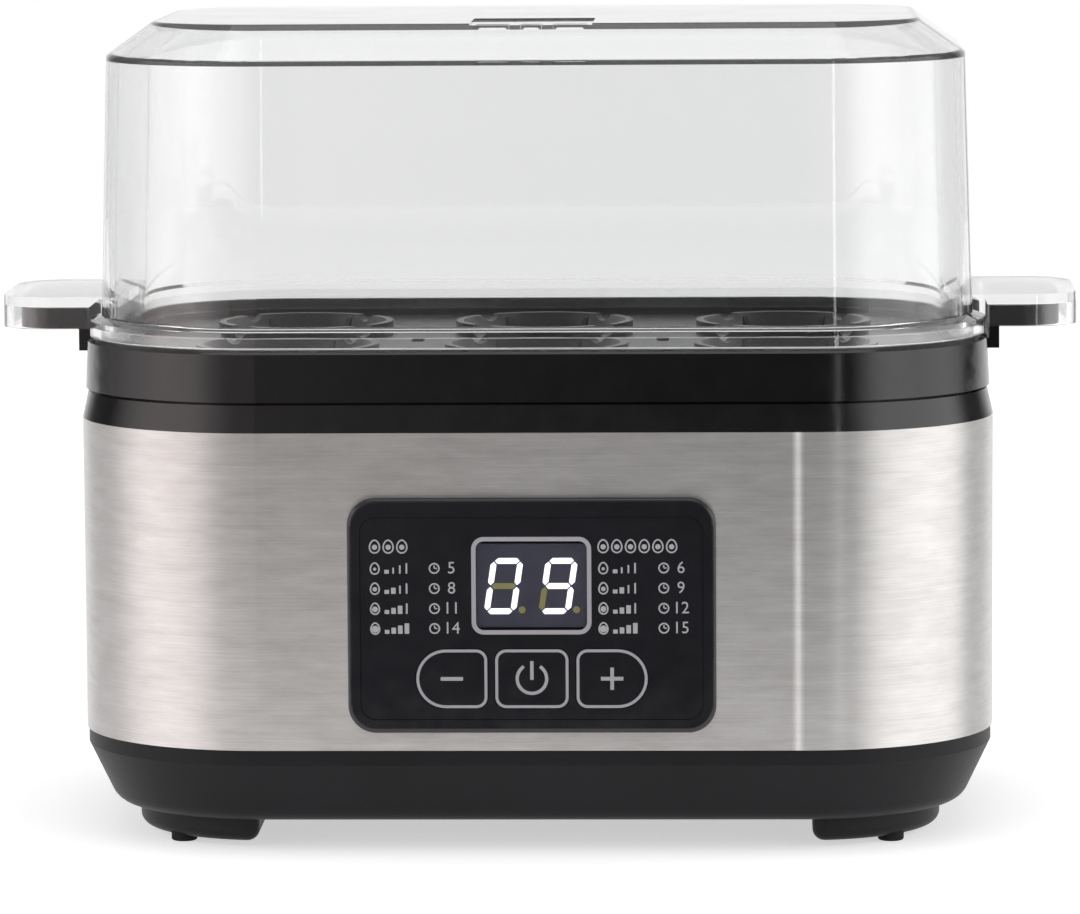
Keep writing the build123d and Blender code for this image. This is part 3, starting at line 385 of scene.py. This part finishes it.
# Mesh helpers
def piece(name, mesh, body, material):
    """Finished mesh as an object at the origin, riding on a body."""
    mesh.materials.append(material)
    made = bpy.data.objects.new(name, mesh)
    bpy.context.scene.collection.objects.link(made)
    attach(made, body)


def mesh_of(name, form):
    """The mesh of a bmesh, with doubles merged and faces turned outwards."""
    bmesh.ops.remove_doubles(form, verts=form.verts, dist=1e-7)
    bmesh.ops.recalc_face_normals(form, faces=form.faces)
    mesh = bpy.data.meshes.new(name)
    form.to_mesh(mesh)
    form.free()
    return mesh


# Panel prints, drawn flat in panel millimetres and stood up on the panel's face
PANEL_MIDDLE_Z = 55.2 * MM
OVERLAY_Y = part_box("panel_overlay")[0].y
PRINT_THICKNESS = 0.03 * MM
BAR_CORNER = 0.12
CORNER_STEPS = 10


def stand_up(x, z, face_y, slant=0.0):
    """From panel millimetres to the face at that depth, facing the front."""
    lean = Matrix.Identity(4)
    lean[0][1] = slant
    turn = Matrix.Rotation(math.radians(90), 4, "X")
    return Matrix.Translation((x * MM, face_y, PANEL_MIDDLE_Z + z * MM)) @ turn @ Matrix.Scale(MM, 4) @ lean


def on_overlay(x, z):
    """A place on the face of the panel's overlay."""
    return stand_up(x, z, OVERLAY_Y)


def set_print(form, place):
    """Gives flat ink its thickness, towards the front, and puts it in its place."""
    made = bmesh.ops.extrude_face_region(form, geom=list(form.faces))
    lifted = [part for part in made["geom"] if isinstance(part, bmesh.types.BMVert)]
    bmesh.ops.translate(form, verts=lifted, vec=(0, 0, PRINT_THICKNESS / MM))
    bmesh.ops.transform(form, matrix=place, verts=form.verts)


def rounded_patch(form, width, height, radius_left, radius_right):
    """Rounded rectangle round the origin, with its own radius at each end."""
    verts = bmesh.ops.create_grid(form, x_segments=1, y_segments=1, size=0.5)["verts"]
    bmesh.ops.scale(form, verts=verts, vec=(width, height, 1))
    left = [vert for vert in verts if vert.co.x < 0]
    right = [vert for vert in verts if vert.co.x > 0]
    for corner_verts, radius in ((left, radius_left), (right, radius_right)):
        bmesh.ops.bevel(form, geom=corner_verts, affect="VERTICES", offset=radius, offset_type="OFFSET",
                        segments=CORNER_STEPS, profile=0.5, material=-1, clamp_overlap=False)


def keep_outline(form, line):
    """Leaves only a line of this width along the edge of a lone face."""
    bmesh.ops.inset_individual(form, faces=list(form.faces), thickness=line, use_even_offset=True)
    middle = max(form.faces, key=lambda face: len(face.verts))
    bmesh.ops.delete(form, geom=[middle], context="FACES")


def rounded_line(name, place, width, height, radius_left, radius_right, line, body, material):
    """Printed outline of a rounded rectangle."""
    form = bmesh.new()
    rounded_patch(form, width, height, radius_left, radius_right)
    keep_outline(form, line)
    set_print(form, place)
    piece(name, mesh_of(name, form), body, material)


def join_forms(name, makers, body, material):
    """One piece from several small forms, each made in place."""
    form = bmesh.new()
    for make in makers:
        part = bmesh.new()
        make(part)
        mesh = bpy.data.meshes.new("part")
        part.to_mesh(mesh)
        part.free()
        form.from_mesh(mesh)
        bpy.data.meshes.remove(mesh)
    piece(name, mesh_of(name, form), body, material)


def bar_form(width, height, place):
    """Short printed bar with softened corners."""
    def make(form):
        rounded_patch(form, width, height, BAR_CORNER, BAR_CORNER)
        set_print(form, place)
    return make


def disc_form(radius, place):
    """Round dot."""
    def make(form):
        bmesh.ops.create_circle(form, cap_ends=True, segments=28, radius=radius)
        set_print(form, place)
    return make


def loop_form(radius, line, place, stretch=1.0, pinch=0.0):
    """Outline of a round dot, or of an egg when it is stretched and pinched at its top."""
    def make(form):
        made = bmesh.ops.create_circle(form, cap_ends=True, segments=32, radius=radius)
        for vert in made["verts"]:
            vert.co.x *= 1 - pinch * (vert.co.y / radius)
            vert.co.y *= stretch
        keep_outline(form, line)
        set_print(form, place)
    return make


def arc_form(radius, line, start, sweep, place):
    """Printed arc of a circle."""
    def make(form):
        low = form.verts.new((radius - line / 2, 0, 0))
        high = form.verts.new((radius + line / 2, 0, 0))
        edge = form.edges.new((low, high))
        bmesh.ops.rotate(form, verts=form.verts, cent=(0, 0, 0), matrix=Matrix.Rotation(start, 3, "Z"))
        bmesh.ops.spin(form, geom=[low, high, edge], cent=(0, 0, 0), axis=(0, 0, 1), angle=sweep, steps=40)
        bmesh.ops.recalc_face_normals(form, faces=form.faces)
        set_print(form, place)
    return make


# Lies between a grid's inner lines, at a sixth, and its outer lines, at a half
GRID_BETWEEN = 0.3


def cross_form(length, thickness, place):
    """Plus sign in one piece, from a grid of nine fields without its corners."""
    def reach(value):
        """Outer lines of the grid go to the ends of the arms, inner lines to their sides."""
        return math.copysign(length / 2 if abs(value) > GRID_BETWEEN else thickness / 2, value)

    def is_corner(face):
        middle = face.calc_center_median()
        return min(abs(middle.x), abs(middle.y)) > thickness / 2

    def make(form):
        bmesh.ops.create_grid(form, x_segments=3, y_segments=3, size=0.5)
        for vert in form.verts:
            vert.co.x = reach(vert.co.x)
            vert.co.y = reach(vert.co.y)
        corners = [face for face in form.faces if is_corner(face)]
        bmesh.ops.delete(form, geom=corners, context="FACES")
        set_print(form, place)
    return make


FIGURE_SHARE = 0.73


def number_form(text, height, place):
    """Plain printed number, set from its middle. A figure is a fixed share of the letter size."""
    def make(form):
        curve = bpy.data.curves.new("number", "FONT")
        curve.body = text
        curve.size = height / FIGURE_SHARE
        curve.align_x = "CENTER"
        curve.align_y = "CENTER"
        curve.resolution_u = 3
        written = bpy.data.objects.new("number", curve)
        flat = bpy.data.meshes.new_from_object(written)
        form.from_mesh(flat)
        bpy.data.objects.remove(written)
        bpy.data.meshes.remove(flat)
        bmesh.ops.remove_doubles(form, verts=form.verts, dist=1e-4)
        set_print(form, place)
    return make


# Display digits
DIGIT_X = (-6.3, 6.05)
DIGIT_Z = 7.35
DIGIT_WIDTH = 6.0
DIGIT_HEIGHT = 11.5
DIGIT_SLANT = 0.15
SEGMENT = 1.32
SEGMENT_GAP = 0.22
DOT_RADIUS = 0.8
DOT_X = 4.15
DOT_RISE = 0.3
ZERO = {"top", "upper_left", "upper_right", "lower_left", "lower_right", "bottom"}
NINE = {"top", "upper_left", "upper_right", "middle", "lower_right", "bottom"}


def segment_form(length, thickness, place):
    """One pointed bar of a digit."""
    def make(form):
        verts = bmesh.ops.create_circle(form, cap_ends=True, segments=6, radius=1.0)["verts"]
        quarter = Matrix.Rotation(math.pi / 2, 3, "Z")
        bmesh.ops.rotate(form, verts=verts, cent=(0, 0, 0), matrix=quarter)
        for vert in verts:
            tip = abs(vert.co.y) < 0.1
            reach = length / 2 if tip else (length - thickness) / 2
            vert.co.x = math.copysign(reach, vert.co.x)
            vert.co.y = 0.0 if tip else math.copysign(thickness / 2, vert.co.y)
        set_print(form, place)
    return make


def segment_places():
    """Name, middle, length and turn of each segment of an upright digit."""
    half_w = DIGIT_WIDTH / 2
    half_h = DIGIT_HEIGHT / 2
    across = DIGIT_WIDTH - 2 * SEGMENT_GAP
    down = half_h - 2 * SEGMENT_GAP
    return [("top", 0, half_h, across, 0),
            ("middle", 0, 0, across, 0),
            ("bottom", 0, -half_h, across, 0),
            ("upper_left", -half_w, half_h / 2, down, 90),
            ("upper_right", half_w, half_h / 2, down, 90),
            ("lower_left", -half_w, -half_h / 2, down, 90),
            ("lower_right", half_w, -half_h / 2, down, 90)]


def add_digits(lit, unlit):
    """Two slanted digits with their dots, on the face of the display module."""
    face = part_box("display_module")[0].y
    lit_forms, unlit_forms = [], []
    for x, lit_names in zip(DIGIT_X, (ZERO, NINE)):
        for name, dx, dz, length, turn in segment_places():
            place = stand_up(x, DIGIT_Z, face, DIGIT_SLANT) @ Matrix.Translation((dx, dz, 0))
            place = place @ Matrix.Rotation(math.radians(turn), 4, "Z")
            chosen = lit_forms if name in lit_names else unlit_forms
            chosen.append(segment_form(length, SEGMENT, place))
        dot_z = DIGIT_Z - DIGIT_HEIGHT / 2 + DOT_RISE
        unlit_forms.append(disc_form(DOT_RADIUS, stand_up(x + DOT_X, dot_z, face)))
    join_forms("lit_segments", lit_forms, "body", lit)
    join_forms("unlit_segments", unlit_forms, "body", unlit)


# Printed guide beside the display: eggs, levels, clocks and plain numbers of minutes
HEAD_Z = 71.7
ROW_Z = (66.7, 62.1, 57.5, 52.95)
LEFT_ENDS = (-36.6, -16.0)
RIGHT_ENDS = (15.2, 36.0)
LEFT_MINUTES = ("5", "8", "11", "14")
RIGHT_MINUTES = ("6", "9", "12", "15")
LEFT_EGGS = 3
RIGHT_EGGS = 6
GUIDE_LINE = 0.34
EGG_IN = 1.1
EGG_RADIUS = 1.15
EGG_STRETCH = 1.25
EGG_PINCH = 0.12
YOLK = (0.38, 0.52, 0.66, 0.8)
YOLK_DROP = 0.15
HEAD_EGG_RADIUS = 1.3
HEAD_EGG_PITCH = 3.1
HEAD_YOLK = 0.6
LEVEL_IN = 3.8
LEVEL_PITCH = 1.5
LEVEL_FILLED = 1.05
LEVEL_OPEN = 0.4
LEVEL_FOOT = 1.2
LEVEL_FIRST = 0.9
LEVEL_RISE = 0.5
CLOCK_IN = 6.0
CLOCK_RADIUS = 1.25
HAND_LINE = 0.3
NUMBER_IN = 2.1
NUMBER_HEIGHT = 2.8


def egg_forms(x, z, radius, yolk):
    """Egg in outline with its yolk, which is larger the longer it cooks."""
    place = on_overlay(x, z)
    return [loop_form(radius, GUIDE_LINE, place, EGG_STRETCH, EGG_PINCH),
            disc_form(yolk, place @ Matrix.Translation((0, -YOLK_DROP, 0)))]


def clock_forms(x, z, radius):
    """Clock face with one hand up and one to the right."""
    place = on_overlay(x, z)
    upright = place @ Matrix.Translation((0, radius * 0.28, 0))
    level = place @ Matrix.Translation((radius * 0.26, 0, 0))
    return [loop_form(radius, GUIDE_LINE, place),
            bar_form(HAND_LINE, radius * 0.56, upright),
            bar_form(radius * 0.52, HAND_LINE, level)]


def level_forms(x, z, level):
    """Four steps that rise to the right, wide up to a level and thin above it."""
    forms = []
    for step in range(len(ROW_Z)):
        tall = LEVEL_FIRST + LEVEL_RISE * step
        place = on_overlay(x + LEVEL_PITCH * step, z - LEVEL_FOOT + tall / 2)
        forms.append(bar_form(LEVEL_FILLED if step <= level else LEVEL_OPEN, tall, place))
    return forms


def guide_rows(ends, minutes):
    """Rows of an egg, how hard it gets, a clock and a number."""
    start, end = ends
    forms = []
    for level, (z, number) in enumerate(zip(ROW_Z, minutes)):
        z -= PANEL_MIDDLE_Z / MM
        forms += egg_forms(start + EGG_IN, z, EGG_RADIUS, YOLK[level])
        forms += level_forms(start + LEVEL_IN, z, level)
        forms += clock_forms(end - CLOCK_IN, z, CLOCK_RADIUS)
        forms.append(number_form(number, NUMBER_HEIGHT, on_overlay(end - NUMBER_IN, z)))
    return forms


def guide_head(ends, eggs):
    """A row of as many eggs as the table below it is for."""
    forms = []
    for egg in range(eggs):
        x = ends[0] + EGG_IN + HEAD_EGG_PITCH * egg
        forms += egg_forms(x, HEAD_Z - PANEL_MIDDLE_Z / MM, HEAD_EGG_RADIUS, HEAD_YOLK)
    return forms


def add_guides(ink):
    left = guide_rows(LEFT_ENDS, LEFT_MINUTES) + guide_head(LEFT_ENDS, LEFT_EGGS)
    right = guide_rows(RIGHT_ENDS, RIGHT_MINUTES) + guide_head(RIGHT_ENDS, RIGHT_EGGS)
    join_forms("left_guide", left, "body", ink)
    join_forms("right_guide", right, "body", ink)


# Outlines and signs of the display and the keys
DISPLAY_Z = 7.5
DISPLAY_WIDTH = 27.2
DISPLAY_HEIGHT = 22.3
DISPLAY_CORNER = 2.8
DISPLAY_LINE = 1.0
KEY_X = 18.2
KEY_Z = -13.8
KEY_WIDTH = 16.2
POWER_KEY_WIDTH = 16.7
KEY_HEIGHT = 13.44
KEY_END = 6.7
KEY_CORNER = 2.5
KEY_INSET = 0.06
KEY_LINE = 0.65
SIGN_LENGTH = 5.1
SIGN_LINE = 0.85
POWER_RADIUS = 3.35
POWER_LINE = 0.75
POWER_HALF_GAP = math.radians(33)
STROKE_Z = -11.9
STROKE_LINE = 0.8
STROKE_LENGTH = 4.3


def add_panel(line, sign):
    """Border of the display, and the outline and sign of each key."""
    rounded_line("display_border", on_overlay(0, DISPLAY_Z), DISPLAY_WIDTH, DISPLAY_HEIGHT, DISPLAY_CORNER,
                 DISPLAY_CORNER, DISPLAY_LINE, "body", line)
    outlines = (("minus", -KEY_X, KEY_WIDTH, KEY_END, KEY_CORNER),
                ("power", 0.0, POWER_KEY_WIDTH, KEY_CORNER, KEY_CORNER),
                ("plus", KEY_X, KEY_WIDTH, KEY_CORNER, KEY_END))
    for name, x, width, left, right in outlines:
        rounded_line(name + "_outline", on_overlay(x, KEY_Z), width - KEY_INSET, KEY_HEIGHT, left, right,
                     KEY_LINE, name + "_button", line)
    minus = bar_form(SIGN_LENGTH, SIGN_LINE, on_overlay(-KEY_X, KEY_Z))
    join_forms("minus_sign", [minus], "minus_button", sign)
    sweep = 2 * (math.pi - POWER_HALF_GAP)
    arc = arc_form(POWER_RADIUS, POWER_LINE, math.pi / 2 + POWER_HALF_GAP, sweep, on_overlay(0.0, KEY_Z))
    stroke = bar_form(STROKE_LINE, STROKE_LENGTH, on_overlay(0.0, STROKE_Z))
    join_forms("power_sign", [arc, stroke], "power_button", sign)
    plus = cross_form(SIGN_LENGTH, SIGN_LINE, on_overlay(KEY_X, KEY_Z))
    join_forms("plus_sign", [plus], "plus_button", sign)


# Stage
WHITE = (1.0, 1.0, 1.0, 1.0)
FLOOR_FRONT = -0.2
FLOOR_BACK = 2.0
FLOOR_HALF_WIDTH = 1.4
FLOOR_DROP = 0.0001
FLOOR_COLOUR = (0.72, 0.72, 0.72)
GLOW_NEAR = 0.55
GLOW_FAR = 0.6
GLOW_REACH = 0.5


def floor_white():
    """Matt pale floor that glows a little more towards the back, so that it ends in the white behind it."""
    material = finish_of("floor_white", FLOOR_COLOUR, 0.9, Specular_IOR_Level=0.0)
    path = add_node(material, "ShaderNodeLightPath")
    seen = combined(material, "MAXIMUM", path.outputs["Is Camera Ray"], path.outputs["Is Glossy Ray"])
    seen = combined(material, "MAXIMUM", seen, path.outputs["Is Transmission Ray"])
    far = spread(material, object_axis(material, "Y"), GLOW_NEAR, GLOW_FAR, 0.0, GLOW_REACH)
    glow = combined(material, "MULTIPLY", seen, far)
    emission = add_node(material, "ShaderNodeEmission", {"Color": WHITE, "Strength": glow})
    matt = shader_of(material).outputs["BSDF"]
    both = add_node(material, "ShaderNodeAddShader", {0: matt, 1: emission.outputs["Emission"]})
    show(material, both.outputs["Shader"])
    return material


def add_floor():
    """Pale sheet under the cooker that keeps its shadow."""
    form = bmesh.new()
    bmesh.ops.create_grid(form, x_segments=8, y_segments=8, size=1.0)
    bmesh.ops.scale(form, verts=form.verts, vec=(FLOOR_HALF_WIDTH, (FLOOR_BACK - FLOOR_FRONT) / 2, 1))
    bmesh.ops.translate(form, verts=form.verts, vec=(0, (FLOOR_BACK + FLOOR_FRONT) / 2, -FLOOR_DROP))
    mesh = bpy.data.meshes.new("floor")
    form.to_mesh(mesh)
    form.free()
    floor = bpy.data.objects.new("floor", mesh)
    bpy.context.scene.collection.objects.link(floor)
    mesh.materials.append(floor_white())


# World. Each pair is where a light begins and where it is full, along a direction from -1 to 1.
FRONT_GLOOM = 0.1
INNER_GLOOM = 0.27
CEILING_LIGHT = 0.55
WORLD_LIGHT = 0.55
BACK_FROM_TO = (0.72, 0.97)
THROUGH_FROM_TO = (-0.1, 0.45)
CEILING_FROM_TO = (0.2, 0.7)


def add_world():
    """White seen straight or through clear plastic, a dim room in front for reflections, and soft light."""
    world = bpy.data.worlds.new("studio")
    bpy.context.scene.world = world
    world.use_nodes = True
    world.node_tree.nodes.clear()
    path = add_node(world, "ShaderNodeLightPath")
    where = add_node(world, "ShaderNodeTexCoord")
    split = add_node(world, "ShaderNodeSeparateXYZ", {0: where.outputs["Generated"]})
    back = split.outputs["Y"]
    behind = spread(world, back, FRONT_GLOOM, 1.0, *BACK_FROM_TO, "SMOOTHSTEP")
    above = spread(world, split.outputs["Z"], 0.0, CEILING_LIGHT, *CEILING_FROM_TO, "SMOOTHSTEP")
    mirrored = combined(world, "MAXIMUM", behind, above)
    inner = spread(world, back, INNER_GLOOM, 1.0, *THROUGH_FROM_TO, "SMOOTHSTEP")
    reflected = combined(world, "MINIMUM", path.outputs["Glossy Depth"], 1.0)
    through = blended(world, reflected, 1.0, inner)
    strength = blended(world, path.outputs["Is Glossy Ray"], WORLD_LIGHT, mirrored)
    strength = blended(world, path.outputs["Is Transmission Ray"], strength, through)
    strength = blended(world, path.outputs["Is Camera Ray"], strength, 1.0)
    background = add_node(world, "ShaderNodeBackground", {"Color": WHITE, "Strength": strength})
    add_node(world, "ShaderNodeOutputWorld", {"Surface": background.outputs[0]})


# Lamps
LAMP_AIM = Vector((0, 0, 0.09))


def fade_ends(data, first, last):
    """Lets a soft box fade over a share of its width at its first and its last end."""
    data.use_nodes = True
    place = add_node(data, "ShaderNodeNewGeometry")
    along = add_node(data, "ShaderNodeSeparateXYZ", {0: place.outputs["Parametric"]}).outputs["X"]
    rise = spread(data, along, 0.0, 1.0, 0.0, first, "SMOOTHSTEP")
    fall = spread(data, along, 0.0, 1.0, 1.0, 1.0 - last, "SMOOTHSTEP")
    tree = data.node_tree
    tree.links.new(combined(data, "MULTIPLY", rise, fall), tree.nodes["Emission"].inputs["Strength"])


def add_lamp(name, azimuth, width, radiance, height=0.35, distance=1.3, tall=0.9, colour=WHITE[:3],
             fades=None):
    """Soft box that faces the cooker, seen in reflections but not by the camera."""
    data = bpy.data.lights.new(name, "AREA")
    data.shape = "RECTANGLE"
    data.size = width
    data.size_y = tall
    data.energy = radiance * width * tall * math.pi
    data.color = colour
    lamp = bpy.data.objects.new(name, data)
    bpy.context.scene.collection.objects.link(lamp)
    turn = math.radians(azimuth)
    place = Vector((math.sin(turn) * distance, -math.cos(turn) * distance, height))
    facing = (place - LAMP_AIM).to_track_quat("Z", "Y").to_matrix().to_4x4()
    lamp.matrix_world = Matrix.Translation(place) @ facing
    lamp.visible_camera = False
    if fades:
        fade_ends(data, *fades)


def add_lamps():
    """A long box at each side, a weak one at the front left, one above, and a strip for the bright edges."""
    add_lamp("right_box", 72, 2.7, 1.88, fades=(0.33, 0.3))
    add_lamp("left_box", -66, 2.6, 1.68, colour=(1.0, 0.9, 0.9), fades=(0.5, 0.35))
    add_lamp("left_fill", -18, 0.9, 0.38, colour=(1.0, 0.88, 0.85), fades=(0.4, 0.4))
    add_lamp("top_box", 0, 1.3, 0.8, height=1.5, distance=0.2, tall=1.3)
    add_lamp("edge_strip", 21.5, 0.025, 5.0, height=0.3, distance=1.6, tall=0.8)


# Dressing
BLACK = (0.003, 0.003, 0.0038)


def finishes_by_slot():
    """The finish of each material slot that the record names."""
    return [
        clear_plastic("clear_plastic", (0.92, 0.923, 0.923), 0.00002),
        gloss_black("tray_black", BLACK, 0.1, 0.2, 0.00002, satin_inside=True),
        gloss_black("collar_black", BLACK, 0.12, 0.22, 0.00002),
        gloss_black("panel_black", (0.0075, 0.0075, 0.0105), 0.14, 0.24, 0.00001),
        satin_black("base_black", (0.008, 0.008, 0.0095), 0.38, 0.52, 3600.0),
        satin_black("foot_rubber", (0.014, 0.014, 0.014), 0.7, 0.85, 2600.0),
        brushed_steel(),
        coated_metal("bowl_metal", (0.11, 0.11, 0.115), (0.3, 0.3, 0.31)),
        plain_metal("plain_steel", (0.6, 0.6, 0.6), 0.24, 0.4),
        plain_metal("spreader_aluminium", (0.75, 0.75, 0.76), 0.4, 0.6, 2400.0),
        plain_metal("element_sheath", (0.22, 0.2, 0.19), 0.42, 0.62, 700.0),
        plain_metal("can_sleeve", (0.12, 0.12, 0.15), 0.3, 0.42, 500.0),
        moulded("seal_silicone", (0.72, 0.72, 0.7), 0.42, 0.56, 1200.0, 0.000006),
        moulded("sensor_body", (0.4, 0.38, 0.33), 0.5, 0.66),
        moulded("module_white", (0.155, 0.155, 0.195), 0.45, 0.6),
        moulded("component_black", (0.022, 0.022, 0.024), 0.4, 0.58),
        moulded("component_blue", (0.04, 0.16, 0.45), 0.32, 0.46),
        moulded("component_yellow", (0.72, 0.5, 0.08), 0.32, 0.46),
        moulded("terminal_plastic", (0.12, 0.35, 0.18), 0.38, 0.52),
        moulded("header_white", (0.78, 0.78, 0.74), 0.36, 0.5),
        board_finish("board_green", (0.02, 0.12, 0.045), (0.05, 0.2, 0.08)),
        board_finish("board_tan", (0.42, 0.29, 0.14), (0.5, 0.36, 0.19)),
        wound_wire("copper_wire", (0.62, 0.27, 0.11)),
        # The second grey of the ribbon is painted shade for the grooves between its leads
        ribbon("ribbon_grey", (0.5, 0.5, 0.5), (0.34, 0.34, 0.34)),
        tinted_clear("window_smoke", (0.55, 0.55, 0.6)),
        tinted_clear("fuse_glass", (0.9, 0.93, 0.93)),
    ]


def dress_nodes():
    """Gives each node its finish, by the record's slot that it already carries."""
    finishes = {material.name.split(".")[0]: material for material in finishes_by_slot()}
    for node in nodes.values():
        for slot in node.material_slots:
            slot.material = finishes[slot.material.name.split(".")[0]]


# Making it all
bpy.context.scene.view_settings.view_transform = "Standard"
add_camera()
add_world()
add_floor()
add_lamps()
dress_nodes()
add_panel(printed("panel_line", (0.38, 0.37, 0.4)), printed("panel_sign", (0.38, 0.38, 0.4)))
add_guides(printed("panel_guide", (0.42, 0.42, 0.44)))
add_digits(printed("display_lit", (0.93, 0.92, 1.0), 2.7), printed("display_unlit", (0.85, 0.78, 0.24)))
